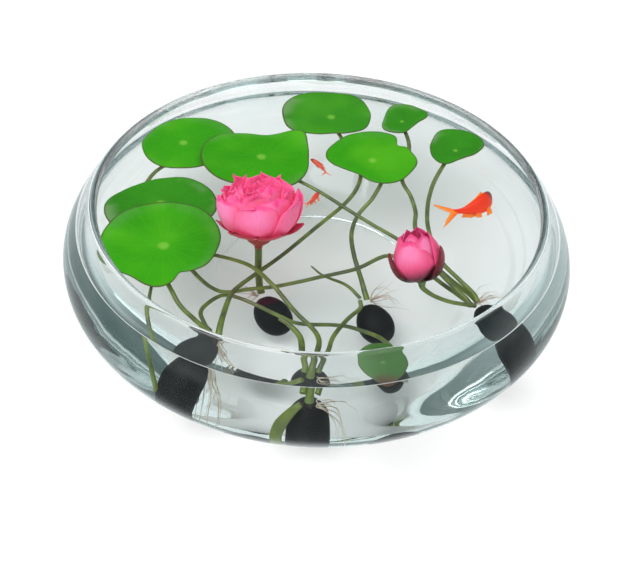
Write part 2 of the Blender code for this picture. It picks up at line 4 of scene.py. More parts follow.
import bmesh
import bpy
import numpy as np
from mathutils import Euler, Matrix, Quaternion, Vector


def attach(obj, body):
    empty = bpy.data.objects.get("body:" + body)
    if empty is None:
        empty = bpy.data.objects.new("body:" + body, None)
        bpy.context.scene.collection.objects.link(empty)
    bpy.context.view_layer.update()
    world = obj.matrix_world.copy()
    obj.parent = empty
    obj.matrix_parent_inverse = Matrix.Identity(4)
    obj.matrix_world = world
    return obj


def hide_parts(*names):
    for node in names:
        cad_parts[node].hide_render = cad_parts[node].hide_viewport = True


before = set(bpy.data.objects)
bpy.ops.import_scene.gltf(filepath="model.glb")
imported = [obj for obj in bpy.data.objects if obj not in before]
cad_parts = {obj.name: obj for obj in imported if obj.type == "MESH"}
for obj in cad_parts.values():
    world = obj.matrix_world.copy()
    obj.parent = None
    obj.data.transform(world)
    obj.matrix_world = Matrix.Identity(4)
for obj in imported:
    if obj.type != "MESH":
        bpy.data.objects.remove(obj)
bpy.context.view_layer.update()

mm = 0.001
waterTop = 53.1


# nodes: a socket that Python maths can be written on, and a book that adds nodes to one tree
class Wire:
    def __init__(self, book, socket):
        self.book = book
        self.socket = socket

    def other(self, name):  # another output of the same node
        return Wire(self.book, self.socket.node.outputs[name])

    def maths(self, operation, *values):
        return self.book.node("ShaderNodeMath", {"operation": operation}, dict(enumerate(values)))

    def __add__(self, value):
        return self.maths("ADD", self, value)

    def __sub__(self, value):
        return self.maths("SUBTRACT", self, value)

    def __mul__(self, value):
        return self.maths("MULTIPLY", self, value)

    def __pow__(self, value):
        return self.maths("POWER", self, value)

    def __rsub__(self, value):
        return self.maths("SUBTRACT", value, self)

    __radd__ = __add__
    __rmul__ = __mul__

    def itself(self, operation):  # FRACT, ABSOLUTE and the like
        return self.maths(operation, self)

    def rise(self, low, high, start=0.0, stop=1.0):  # smooth step between two values
        return self.book.node("ShaderNodeMapRange", {"interpolation_type": "SMOOTHSTEP"},
                              {0: self, 1: low, 2: high, 3: start, 4: stop})


class Book:
    def __init__(self, tree):
        self.tree = tree

    def node(self, kind, settings=None, values=None, out=0):
        made = self.tree.nodes.new(kind)
        for key, value in (settings or {}).items():
            setattr(made, key, value)
        for key, value in (values or {}).items():
            if isinstance(value, Wire):
                self.tree.links.new(value.socket, made.inputs[key])
            elif value is not None:
                made.inputs[key].default_value = value
        return Wire(self, made.outputs[out]) if made.outputs else None

    def point(self):  # the object's own coordinates, in metres
        return self.node("ShaderNodeTexCoord").other("Object")

    def surface(self):  # across and along a petal, round and out on a leaf
        uv = self.node("ShaderNodeUVMap", {"uv_map": "surface"})
        split = self.node("ShaderNodeSeparateXYZ", None, {0: uv})
        return split, split.other("Y")

    def stored(self, name):
        return self.node("ShaderNodeAttribute", {"attribute_name": name}).other("Fac")

    def noise(self, scale, detail=3.0, rough=0.55, at=None, twist=0.0):
        return self.node("ShaderNodeTexNoise", None, {
            "Vector": at or self.point(), "Scale": scale, "Detail": detail, "Roughness": rough,
            "Distortion": twist})

    def stretched(self, scales, at=None):  # coordinates pulled longer or shorter on each axis
        return self.node("ShaderNodeVectorMath", {"operation": "MULTIPLY"},
                         {0: at or self.point(), 1: scales})

    def blend(self, share, first, second):
        return self.node("ShaderNodeMix", {"data_type": "RGBA"},
                         {0: share, 6: solid(first), 7: solid(second)}, out=2)

    def facing(self, direction, heading):  # how far a direction lies toward a heading
        return self.node("ShaderNodeVectorMath", {"operation": "DOT_PRODUCT"},
                         {0: direction, 1: heading}).other("Value")

    def scaled(self, vector, scale):
        return self.node("ShaderNodeVectorMath", {"operation": "SCALE"}, {0: vector, "Scale": scale})

    def centred(self, noise):  # a noise's colour as a vector about nothing
        return self.node("ShaderNodeVectorMath", {"operation": "SUBTRACT"},
                         {0: noise.other("Color"), 1: (0.5, 0.5, 0.5)})

    def bump(self, height, depth, strength=1.0, under=None):  # depth in millimetres
        return self.node("ShaderNodeBump", None, {
            "Height": height, "Distance": depth * mm, "Strength": strength, "Normal": under})


def solid(colour):
    return (*colour, 1.0) if isinstance(colour, tuple) and len(colour) == 3 else colour


def finish(name, paint):
    made = bpy.data.materials.new(name)
    made.use_nodes = True
    made.node_tree.nodes.clear()
    book = Book(made.node_tree)
    sockets = {key: solid(value) if "Color" in key else value for key, value in paint(book).items()}
    shader = book.node("ShaderNodeBsdfPrincipled", None, sockets)
    book.node("ShaderNodeOutputMaterial", None, {"Surface": shader})
    return made


# meshes: a shell gathers the points, faces and surface coordinates of one piece
class Shell:
    def __init__(self):
        self.points, self.faces, self.corners = [], [], []
        self.tones, self.sides = [], []

    def add(self, points, faces, corners, tone=0.5, side=0.5):
        start = len(self.points)
        self.points += [tuple(point) for point in points]
        self.faces += [tuple(start + k for k in face) for face in faces]
        self.corners += corners
        self.tones += [tone] * len(points)
        self.sides += [side] * len(points)


def addSheet(shell, grid, coords, thick, tone=0.5, wrap=False, thin=0.35):
    # a closed thin body on both sides of a grid of points; side 1 is its upper or inner face
    grid = np.asarray(grid, float)
    rows, cols = grid.shape[:2]
    down = np.gradient(grid, axis=0)
    across = np.roll(grid, -1, 1) - np.roll(grid, 1, 1) if wrap else np.gradient(grid, axis=1)
    normal = np.cross(down, across)
    if wrap:
        normal[0] = normal[1].mean(axis=0)
    normal /= np.maximum(np.linalg.norm(normal, axis=2, keepdims=True), 1e-9)
    depth = np.full((rows, cols, 1), float(thick))
    depth[-1] *= thin
    if not wrap:
        depth[:, 0] *= thin
        depth[:, -1] *= thin
    span = cols if wrap else cols - 1
    start = len(shell.points)
    for side in (1.0, 0.0):
        faces, corners = [], []
        for i in range(rows - 1):
            for j in range(span):
                n = (j + 1) % cols
                ring = [(i, j), (i, n), (i + 1, n), (i + 1, j)]
                uv = [coords[i][j], coords[i][j + 1], coords[i + 1][j + 1], coords[i + 1][j]]
                faces.append([a * cols + b for a, b in ring])
                corners.append(uv)
        points = grid + (side - 0.5) * depth * normal
        shell.add(points.reshape(-1, 3), faces, corners, tone, side)
    edge = [(rows - 1, j) for j in range(cols)]
    if not wrap:
        edge = ([(0, j) for j in range(cols)] + [(i, cols - 1) for i in range(1, rows)]
                + [(rows - 1, j) for j in range(cols - 2, -1, -1)] + [(i, 0) for i in range(rows - 2, 0, -1)])
    for (a, b), (c, d) in zip(edge, edge[1:] + edge[:1]):
        low, high = start + a * cols + b, start + c * cols + d
        uv = [coords[a][b], coords[c][d if not wrap or d else cols]]
        shell.faces.append((low, high, high + rows * cols, low + rows * cols))
        shell.corners.append([uv[0], uv[1], uv[1], uv[0]])


def ready(name, mesh, materials):
    # seals the seams, turns the faces outward and makes the piece's object
    bm = bmesh.new()
    bm.from_mesh(mesh)
    bmesh.ops.remove_doubles(bm, verts=bm.verts, dist=2e-7)
    bmesh.ops.recalc_face_normals(bm, faces=bm.faces)
    for face in bm.faces:
        face.smooth = True
    bm.to_mesh(mesh)
    bm.free()
    if list(mesh.materials) != materials:
        if mesh.materials:  # this also puts every face on the first material
            mesh.materials.clear()
        for material in materials:
            mesh.materials.append(material)
    piece = bpy.data.objects.new(name, mesh)
    bpy.context.scene.collection.objects.link(piece)
    return piece


def shellMesh(name, shell, place=None):
    mesh = bpy.data.meshes.new(name)
    scaled = [Vector(point) * mm for point in shell.points]
    if place is not None:
        scaled = [place @ point for point in scaled]
    mesh.from_pydata(scaled, [], shell.faces)
    layer = mesh.uv_layers.new(name="surface")
    layer.data.foreach_set("uv", [x for face in shell.corners for corner in face for x in corner])
    for attribute, values in (("tone", shell.tones), ("side", shell.sides)):
        mesh.attributes.new(attribute, "FLOAT", "POINT").data.foreach_set("value", values)
    return mesh


def settle(piece, node):
    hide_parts(node)
    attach(piece, "root")
    return piece


def placed(at, lean=0.0, tip=0.0, turn=0.0):  # a place in millimetres and a turn in degrees
    angles = Euler([math.radians(angle) for angle in (lean, tip, turn)])
    return Matrix.Translation(Vector(at) * mm) @ angles.to_matrix().to_4x4()


def lapFaces(rows, around):  # the faces between neighbouring rings of points
    return [(i * around + j, i * around + (j + 1) % around, (i + 1) * around + (j + 1) % around,
             (i + 1) * around + j) for i in range(rows) for j in range(around)]


def bezier(points, s):
    a, b, c, d = points
    return tuple((1 - s) ** 3 * p + 3 * s * (1 - s) ** 2 * q + 3 * s * s * (1 - s) * r + s ** 3 * t
                 for p, q, r, t in zip(a, b, c, d))


def steps(start, stop, count):
    return [start + (stop - start) * k / (count - 1) for k in range(count)]


# glass and water

bowlShape = {
    "radius": 100.1, "height": 65.0, "widestFrom": 36.5, "widestTo": 44.0, "rimRadius": 88.3,
    "footRadius": 46.0, "footWidth": 5.0, "recess": 1.2, "floorTop": 4.6, "floorRadius": 40.0,
    "flare": 1.345, "belly": 1.2255, "shoulder": 1.325, "ease": 0.30, "around": 192,
    "floorStart": 0.27, "floorBend": 51.0,  # where the inside leaves the wall for the flat floor
    # the wall's thickness on the way from the foot, 0, past the widest, 1, to the rim, 2
    "wall": [(0.0, 3.6), (0.25, 3.0), (0.5, 2.0), (0.9, 2.1), (1.41, 2.6), (1.63, 3.2), (2.0, 3.6)],
}
waterShape = {"clearance": 0.02, "climb": 0.35, "climbWidth": 0.5}


def sidePoint(t):
    # the bowl's outside: t from 0 at the foot to 1 at the widest, then to 2 at the rim
    b = bowlShape
    if t <= 1.0:
        angle = 0.5 * math.pi * t
        r = b["footRadius"] + (b["radius"] - b["footRadius"]) * math.sin(angle) ** b["flare"]
        return r, b["widestFrom"] * (1.0 - max(math.cos(angle), 0.0) ** b["belly"])
    z = b["widestFrom"] + (b["height"] - b["widestFrom"]) * (t - 1.0)
    over = max(z - b["widestTo"], 0.0) / (b["height"] - b["widestTo"])
    return b["radius"] - (b["radius"] - b["rimRadius"]) * over ** b["shoulder"], z


easing = [(k / 12, 1.0 + math.cos(math.pi * k / 12)) for k in range(-11, 12)]


def outerPoint(t):
    # the same with every bend eased, so that the glass refracts without a crease
    t = min(max(t, 0.0), 2.0)
    reach = bowlShape["ease"] * t * t * (2.0 - t)
    near = [(weight, sidePoint(t + reach * spot)) for spot, weight in easing]
    total = sum(weight for weight, place in near)
    return tuple(sum(weight * place[axis] for weight, place in near) / total for axis in (0, 1))


def wallAt(t):
    for (a, thin), (b, thick) in zip(bowlShape["wall"], bowlShape["wall"][1:]):
        if t <= b:
            s = max(t - a, 0.0) / (b - a)
            return thin + (thick - thin) * s * s * (3 - 2 * s)
    return bowlShape["wall"][-1][1]


def offsetPoint(t, share, extra=0.0):
    # the outside moved in by a share of the wall and some more, square to the surface
    (ra, za), (rb, zb) = outerPoint(t - 0.01), outerPoint(t + 0.01)
    length = math.hypot(rb - ra, zb - za)
    r, z = outerPoint(t)
    depth = share * wallAt(t) + extra
    return r - depth * (zb - za) / length, z + depth * (rb - ra) / length


def whereHeight(height, share, extra=0.0):
    low, high = 0.05, 1.99
    for _ in range(50):
        mid = 0.5 * (low + high)
        if offsetPoint(mid, share, extra)[1] < height:
            low = mid
        else:
            high = mid
    return 0.5 * (low + high)


def innerFloor(extra):
    start = offsetPoint(bowlShape["floorStart"], 1.0, extra)
    low = bowlShape["floorTop"] + extra
    hook = (bowlShape["floorBend"], low)
    end = (bowlShape["floorRadius"], low)
    return [bezier((start, hook, hook, end), s) for s in steps(0.0, 1.0, 9)[1:]]


def bowlProfile():
    b = bowlShape
    half = 0.5 * wallAt(2.0)
    top = whereHeight(b["height"] - half, 0.5)
    rc, zc = offsetPoint(top, 0.5)
    ro, zo = offsetPoint(top, 0.0)
    half = math.hypot(ro - rc, zo - zc)
    first = math.atan2(zo - zc, ro - rc)
    bead = [(rc + half * math.cos(first + math.pi * k / 14), zc + half * math.sin(first + math.pi * k / 14))
            for k in range(1, 14)]
    inner = b["footRadius"] - b["footWidth"]
    under = b["recess"]
    foot = [(0.0, under), (20.0, under), (inner - 3.0, under), (inner - 1.4, under - 0.1),
            (inner - 0.2, 0.6), (inner + 0.9, 0.12), (inner + 2.2, 0.0), (inner + 3.6, 0.1)]
    outside = [outerPoint(t) for t in steps(0.02, 1.0, 40)] + [outerPoint(t) for t in steps(1.0, top, 26)[1:]]
    wet = whereHeight(waterTop + waterShape["climb"], 1.0)
    inside = [offsetPoint(t, 1.0) for t in steps(top, wet, 12)]
    inside += [offsetPoint(t, 1.0) for t in steps(wet, b["floorStart"], 44)[1:]]
    return foot + outside + bead + inside + innerFloor(0.0) + [(20.0, b["floorTop"]), (0.0, b["floorTop"])]


def waterProfile():
    w, free = waterShape, waterShape["clearance"]
    wet = whereHeight(waterTop + w["climb"], 1.0, free)
    side = [offsetPoint(t, 1.0, free) for t in steps(wet, bowlShape["floorStart"], 44)]
    edge = side[0][0]
    back = [8.0, 5.0, 3.4, 2.4, 1.7, 1.1, 0.7, 0.45, 0.25, 0.08]
    top = [(edge - d, waterTop + w["climb"] * math.exp(-d / w["climbWidth"])) for d in back]
    floor = bowlShape["floorTop"] + free
    return [(0.0, waterTop), (40.0, waterTop)] + top + side + innerFloor(free) + [(20.0, floor), (0.0, floor)]


def turned(name, profile, around, materials, choose):
    # spins a profile of (r, z) that starts and ends on the axis; choose gives each band's material
    turns = [2 * math.pi * k / around for k in range(around)]
    points = [(r * math.cos(a), r * math.sin(a), z) for r, z in profile for a in turns]
    picks = [choose(low, high) for low, high in zip(profile, profile[1:]) for _ in range(around)]
    mesh = bpy.data.meshes.new(name)
    mesh.from_pydata([Vector(point) * mm for point in points], [], lapFaces(len(profile) - 1, around))
    mesh.polygons.foreach_set("material_index", picks)
    return ready(name, mesh, materials)


glassLook = {
    "ior": 1.5, "wetIor": 1.1253, "baseIor": 1.36, "baseTop": 3.0,
    "clear": (0.950, 0.966, 0.967), "green": (0.90, 0.940, 0.935), "wave": 0.05, "ripple": 0.02,
}
waterLook = {"ior": 1.333, "clear": (0.935, 0.955, 0.958), "tint": (0.885, 0.920, 0.920), "ripple": 0.035,
             "line": (0.93, 0.95, 0.95), "line low": (0.80, 0.85, 0.85)}


def glassPaint(ior):
    def paint(book):
        cloud = book.noise(14.0, 2.0)
        wave = book.bump(book.noise(22.0, 1.5), glassLook["wave"])
        return {
            "Base Color": book.blend(cloud.rise(0.35, 0.7), glassLook["clear"], glassLook["green"]),
            "Roughness": 0.0, "IOR": ior, "Transmission Weight": 1.0,
            "Normal": book.bump(book.noise(70.0, 2.0), glassLook["ripple"], 1.0, wave),
        }
    return paint


def waterPaint(ior, ripple):
    def paint(book):
        sockets = {
            "Base Color": book.blend(book.noise(20.0).rise(0.3, 0.7), waterLook["clear"], waterLook["tint"]),
            "Roughness": 0.0, "IOR": ior, "Transmission Weight": 1.0,
        }
        if ripple:
            sockets["Normal"] = book.bump(book.noise(34.0, 2.0, twist=0.6), ripple)
        return sockets
    return paint


dryGlass = finish("clear_glass", glassPaint(glassLook["ior"]))
wetGlass = finish("clear_glass_under_water", glassPaint(glassLook["wetIor"]))
baseGlass = finish("clear_glass_base", glassPaint(glassLook["baseIor"]))  # the foot doesn't mirror the table
waterSurface = finish("water_surface", waterPaint(waterLook["ior"], waterLook["ripple"]))
waterBody = finish("water_body", waterPaint(1.0, 0.0))


def waterLineHighlightPaint(book):  # painted highlight: the thread where the water climbs the glass is painted pale and mostly matte, in place of the light it catches
    noisy = book.noise(60.0).rise(0.4, 0.6)
    return {"Base Color": book.blend(noisy, waterLook["line"], waterLook["line low"]), "Roughness": 0.35,
            "IOR": waterLook["ior"], "Transmission Weight": 0.25}


waterLineHighlight = finish("water_line_highlight", waterLineHighlightPaint)
bowlLine = bowlProfile()
turnedIn = max(range(len(bowlLine)), key=lambda k: bowlLine[k][1])


def bowlBand(low, high):
    if bowlLine.index(low) > turnedIn:
        return 1 if low[1] < waterTop + waterShape["climb"] + 0.01 else 0
    return 2 if max(low[1], high[1]) < glassLook["baseTop"] else 0


bowl = settle(turned("bowl_glass", bowlLine, bowlShape["around"], [dryGlass, wetGlass, baseGlass], bowlBand),
              "glass_bowl")
waterEdge = waterTop + 0.55 * waterShape["climb"]  # above this the water's skin is painted pale, a painted highlight


def waterBand(low, high):
    if high[1] < waterTop - 0.01 or low[1] > high[1]:
        return 1
    return 2 if high[1] > waterEdge else 0


pond = settle(turned("bowl_water", waterProfile(), bowlShape["around"], [waterSurface, waterBody, waterLineHighlight],
                     waterBand), "water")
for clear in (bowl, pond):  # lamps and bounced light pass straight through, as through thin glass
    clear.visible_shadow = False
    clear.visible_diffuse = False
print("glass and water ready")


# stems and roots: paths turned into tubes by geometry nodes

def treeOf(name, inputs):
    tree = bpy.data.node_groups.new(name, "GeometryNodeTree")
    tree.interface.new_socket("Geometry", in_out="INPUT", socket_type="NodeSocketGeometry")
    for label, kind, value in inputs:
        socket = tree.interface.new_socket(label, in_out="INPUT", socket_type="NodeSocket" + kind)
        if value is not None:
            socket.default_value = value
    tree.interface.new_socket("Geometry", in_out="OUTPUT", socket_type="NodeSocketGeometry")
    book = Book(tree)
    start = tree.nodes.new("NodeGroupInput")
    given = {socket.name: Wire(book, socket) for socket in start.outputs if socket.name}
    return tree, book, given


def finishTree(book, geometry, material):
    shaded = book.node("GeometryNodeSetShadeSmooth", None, {"Geometry": geometry})
    real = book.node("GeometryNodeRealizeInstances", None, {"Geometry": shaded})
    painted = book.node("GeometryNodeSetMaterial", None, {"Geometry": real, "Material": material})
    book.node("NodeGroupOutput", None, {0: painted})


def grown(name, source, tree, values):
    # runs a tree on a source object and returns the plain mesh it makes
    modifier = source.modifiers.new(tree.name, "NODES")
    modifier.node_group = tree
    for socket in tree.interface.items_tree:
        if getattr(socket, "in_out", "") == "INPUT" and socket.name in values:
            modifier[socket.identifier] = values[socket.name]
    bpy.context.view_layer.update()
    done = source.evaluated_get(bpy.context.evaluated_depsgraph_get())
    mesh = bpy.data.meshes.new_from_object(done)
    mesh.name = name
    data = source.data
    bpy.data.objects.remove(source, do_unlink=True)
    if isinstance(data, bpy.types.Curve):
        bpy.data.curves.remove(data)
    return mesh


def stemTree():
    tree, book, given = treeOf("stem along a path", [
        ("Points", "Int", 60), ("Sides", "Int", 12), ("Knobble", "Float", 0.1 * mm),
        ("Seed", "Float", 0.0), ("Finish", "Material", None)])
    path = book.node("GeometryNodeResampleCurve", None,
                     {"Curve": given["Geometry"], "Count": given["Points"]})
    uneven = book.node("ShaderNodeTexNoise", {"noise_dimensions": "4D"}, {
        "Vector": book.node("GeometryNodeInputPosition"), "W": given["Seed"], "Scale": 90.0, "Detail": 2.0})
    drift = book.scaled(book.centred(uneven), given["Knobble"])
    bent = book.node("GeometryNodeSetPosition", None, {"Geometry": path, "Offset": drift})
    marked = book.node("GeometryNodeStoreNamedAttribute", {"data_type": "FLOAT", "domain": "POINT"}, {
        "Geometry": bent, "Name": "along", "Value": book.node("GeometryNodeSplineParameter")})
    ring = book.node("GeometryNodeCurvePrimitiveCircle", None, {"Resolution": given["Sides"], "Radius": mm})
    radius = book.node("GeometryNodeInputRadius")
    tube = book.node("GeometryNodeCurveToMesh", None, {
        "Curve": marked, "Profile Curve": ring, "Scale": radius, "Fill Caps": True})
    finishTree(book, tube, given["Finish"])
    return tree


def rootTree():
    tree, book, given = treeOf("tuft of roots", [
        ("Strands", "Int", 24), ("Points", "Int", 28), ("Splay", "Float", 6.0 * mm),
        ("Curl", "Float", 3.0 * mm), ("Thickness", "Float", 0.3 * mm), ("Seed", "Int", 1),
        ("Finish", "Material", None)])
    path = book.node("GeometryNodeResampleCurve", None,
                     {"Curve": given["Geometry"], "Count": given["Points"]})
    copies = book.node("GeometryNodeDuplicateElements", {"domain": "SPLINE"},
                       {"Geometry": path, "Amount": given["Strands"]})
    which = copies.other("Duplicate Index")
    marked = book.node("GeometryNodeStoreNamedAttribute", {"data_type": "INT", "domain": "CURVE"}, {
        "Geometry": copies, "Name": "strand", "Value": which})
    strand = book.node("GeometryNodeInputNamedAttribute", {"data_type": "INT"}, {"Name": "strand"})
    along = book.node("GeometryNodeSplineParameter")
    heading = book.node("FunctionNodeRandomValue", {"data_type": "FLOAT_VECTOR"}, {
        0: (-1.0, -1.0, -0.8), 1: (1.0, 1.0, 0.8), "ID": strand, "Seed": given["Seed"]})
    away = book.scaled(heading, along ** 0.5 * given["Splay"])
    wander = book.node("ShaderNodeTexNoise", {"noise_dimensions": "4D"}, {
        "Vector": book.node("GeometryNodeInputPosition"), "W": strand * 3.7 + given["Seed"],
        "Scale": 85.0, "Detail": 2.0})
    curl = book.scaled(book.centred(wander), along ** 0.5 * given["Curl"])
    offset = book.node("ShaderNodeVectorMath", {"operation": "ADD"}, {0: away, 1: curl})
    loose = book.node("GeometryNodeSetPosition", None, {"Geometry": marked, "Offset": offset})
    reach = book.node("FunctionNodeRandomValue", {"data_type": "FLOAT"}, {
        2: 0.45, 3: 1.0, "ID": strand, "Seed": given["Seed"]}, out=1)
    short = book.node("GeometryNodeTrimCurve", {"mode": "FACTOR"}, {"Curve": loose, "End": reach})
    ring = book.node("GeometryNodeCurvePrimitiveCircle", None, {"Resolution": 5, "Radius": 1.0})
    tube = book.node("GeometryNodeCurveToMesh", None, {
        "Curve": short, "Profile Curve": ring, "Scale": given["Thickness"] * (1.15 - along),
        "Fill Caps": True})
    finishTree(book, tube, given["Finish"])
    return tree


def through(a, b, c, d, t):  # Catmull-Rom curve from b to c
    return 0.5 * (2 * b + (c - a) * t + (2 * a - 5 * b + 4 * c - d) * t * t
                  + (3 * b - a - 3 * c + d) * t ** 3)


def smoothRoute(points, count):
    # a smooth curve through the points, resampled to count points
    path = [Vector(p) for p in points]
    path = [path[0] * 2 - path[1]] + path + [path[-1] * 2 - path[-2]]
    dense = []
    for a, b, c, d in zip(path, path[1:], path[2:], path[3:]):
        dense += [through(a, b, c, d, k / 24) for k in range(24)]
    dense.append(path[-2])
    return [dense[round(k * (len(dense) - 1) / (count - 1))] for k in range(count)]


def pathObject(name, points, radii, count=48):
    route = smoothRoute(points, count)
    if points[0][2] > waterTop - 1.0:  # meets its leaf upright
        route.insert(1, route[0] - Vector((0.0, 0.0, 1.3)))
    curve = bpy.data.curves.new(name, "CURVE")
    curve.dimensions = "3D"
    spline = curve.splines.new("POLY")
    spline.points.add(len(route) - 1)
    for k, where in enumerate(route):
        span = k * (len(radii) - 1) / (len(route) - 1)
        low = min(int(span), len(radii) - 2)
        spline.points[k].co = (*(where * mm), 1.0)
        spline.points[k].radius = radii[low] + (radii[low + 1] - radii[low]) * (span - low)
    source = bpy.data.objects.new(name, curve)
    bpy.context.scene.collection.objects.link(source)
    return source


stemLook = {"deep": (0.045, 0.075, 0.014), "olive": (0.130, 0.195, 0.018), "pale": (0.215, 0.280, 0.055),
            "points": 72, "sides": 12, "knobble": 0.5}


def stemPaint(book):
    along = book.stored("along")
    blotch = book.noise(120.0, 3.0).rise(0.35, 0.65)
    grain = book.noise(1.0, 3.0, at=book.stretched((1500.0, 1500.0, 500.0)))
    olive = book.blend(blotch, stemLook["deep"], stemLook["olive"])
    fresh = book.blend(along.rise(0.0, 0.9, 0.35, 0.0) * grain, olive, stemLook["pale"])
    return {"Base Color": fresh, "Roughness": grain * 0.2 + 0.32, "Coat Weight": 0.25,
            "Coat Roughness": 0.25, "Normal": book.bump(grain, 0.05)}


stemGreen = finish("stem_olive", stemPaint)
stemGrowth = stemTree()
stems = {
    "stem_a": [(-54.5, 46, 52.9), (-62, 37, 50), (-69, 29, 47), (-73, 8, 46), (-68, -14, 47),
               (-58, -32, 47.5), (-54, -39, 45), (-50, -46, 42.5), (-44, -51, 39), (-37.6, -55.4, 34.6)],
    "stem_b": [(-27.5, 38, 52.9), (-18, 34, 51.5), (-11, 30, 50), (0, 23, 48), (10, 15.8, 45),
               (21.5, 7.6, 42), (32.5, 0.5, 39), (44, -9, 35.5), (53, -20, 35), (59.8, -29.4, 36.4),
               (61.7, -32.8, 36.3)],
    "stem_c": [(-62, 7, 52.9), (-58, -6, 47), (-49, -21, 39), (-37, -29.3, 31.5), (-24, -26, 30),
               (-14, -23, 29), (1, -17, 29), (16, -11.5, 30), (27.5, -4, 31.5), (38, -7, 31),
               (49, -18, 30), (57.6, -30, 33.8), (60.2, -33.4, 34.9)],
    "stem_d": [(-59, -20.5, 52.9), (-48, -19.5, 50), (-37, -19.5, 46.5), (-28.4, -20, 43),
               (-22.5, -22.5, 40.3), (-16, -28, 36), (-7, -40.5, 33), (-0.5, -48, 32),
               (2, -54, 32), (1.6, -61, 33), (0.2, -67.4, 33.6), (-0.4, -70.2, 31.6), (-0.5, -70.9, 29.4)],
    "stem_e": [(3, 72, 52.9), (10, 55, 50), (16.5, 40, 47), (15, 29, 43.5), (9.5, 19.4, 41),
               (0, 6.8, 40), (-14.1, -12, 38.3), (-22.7, -21.3, 36.8), (-29.8, -29.2, 35.3),
               (-32.6, -35, 34.5), (-34.3, -45, 34), (-34.9, -52.3, 34.4), (-35.1, -55.4, 33.4)],
    "stem_f": [(21.5, 42, 52.9), (26, 35, 50), (22, 25, 42.5), (16, 17, 37), (13.5, 8, 31),
               (15, -1, 25.5), (18, -12, 21.5), (19.6, -18.6, 19.4), (20.3, -21.3, 17.9)],
    "stem_g": [(34, 70, 52.9), (37, 54, 51), (33.5, 34, 49.5), (36.9, 24.4, 46.5), (39, 15, 44.5),
               (38.7, 5.5, 43), (42.7, -10.9, 41.5), (50.5, -23.3, 40), (57.4, -31.3, 37.4),
               (59.2, -35, 35.8)],
    "stem_h": [(55, 50, 52.9), (50.7, 42, 51), (46.5, 31.6, 49), (44, 19, 47), (43.6, 4.4, 45.5),
               (47.5, -12.5, 43.5), (54, -22.6, 42.3), (60, -29.8, 39.9), (61.6, -33.4, 38.3)],
    "stem_young": [(-38.4, -52.3, 33.2), (-41, -47, 30.4), (-43, -38, 28.5), (-36, -29, 27.6),
                   (-29, -30, 27.6), (-20, -34.5, 27), (-12.6, -37.8, 25), (-5.3, -39.9, 23),
                   (9.9, -38, 20.5), (18, -40.4, 20.5), (26, -46, 22.5), (31, -57, 28),
                   (30, -67, 37), (26, -74, 46), (24.6, -76.0, 49.0)],
    "runner": [(17.6, -22.6, 18.4), (17.6, -28.8, 21.5), (13, -38, 26.5), (7.5, -49.8, 29),
               (5.6, -60, 32), (3.4, -67.0, 33.6), (2.2, -70.2, 31.8)],
    "shoot_mid": [(-13, -44, 33), (-9.6, -46.5, 32.5), (-5, -53, 32), (-3.8, -62, 33),
                  (-2.6, -68.0, 33.6), (-2.9, -70.6, 32.2)],
    "shoot_left": [(-52.4, -64.8, 28.6), (-55, -67.5, 36.5), (-58, -63, 44.5), (-61, -50, 48.5),
                   (-61, -40, 50), (-60.5, -33, 52.5)],
    "spike": [(-2, -7, 24), (3, -11, 22), (12, -13.5, 18.4), (17.7, -19.9, 16.9)],
    "shoot_loop": [(-3.4, -72.6, 29.4), (-7.3, -73.2, 26.0), (-10.3, -73.2, 23.0), (-11.6, -72.2, 19.6),
                   (-11.2, -69.0, 17.2), (-9.6, -65.2, 16.2)],
    "stem_bud": [(60.4, -35.4, 37.7), (57, -37, 40.6), (50.5, -38, 44), (44.5, -37.5, 47.5),
                 (40.3, -36, 51), (39.5, -35.5, 54.4), (39.4, -35.3, 55.0), (39.1, -35.0, 56.0)],
}
plainRadii = (0.9, 0.9, 1.05)
stemRadii = {  # from the first point to the last, for the stems that aren't plain
    "stem_d": (0.9, 0.9, 0.9, 0.95, 1.0, 1.25, 1.6), "stem_f": (0.9, 0.9, 0.9, 1.0, 1.3),
    "stem_e": (0.9, 0.9, 0.9, 1.0, 1.4), "shoot_mid": (1.0, 1.25, 1.1), "shoot_left": (0.9, 0.8, 0.5),
    "spike": (0.35, 0.7, 0.8), "shoot_loop": (1.1, 1.4, 1.8, 2.0, 1.8, 1.2),
    "stem_bud": (1.0, 1.0, 1.0, 1.0, 1.1, 1.5, 2.4, 2.5),
}


def growStem(name, points, radii, finished, values):
    source = pathObject(name + "_path", points, radii)
    mesh = grown(name + "_tube", source, stemGrowth, {**values, "Finish": finished})
    settle(ready(name + "_grown", mesh, [finished]), name)


for number, (stemName, stemPoints) in enumerate(stems.items()):
    growStem(stemName, stemPoints, stemRadii.get(stemName, plainRadii), stemGreen,
             {"Points": stemLook["points"], "Sides": stemLook["sides"],
              "Knobble": stemLook["knobble"] * mm, "Seed": number * 5.3})

rootLook = {"pale": (0.62, 0.58, 0.48), "brown": (0.30, 0.22, 0.13), "pink": (0.55, 0.36, 0.30),
            "points": 28, "thickness": 0.19}


def rootPaint(book):
    noisy = book.noise(260.0, 4.0)
    pale = book.blend(noisy.rise(0.4, 0.7), rootLook["pale"], rootLook["brown"])
    return {"Base Color": book.blend(book.noise(60.0).rise(0.5, 0.75), pale, rootLook["pink"]),
            "Roughness": noisy * 0.3 + 0.4, "Normal": book.bump(noisy, 0.05)}


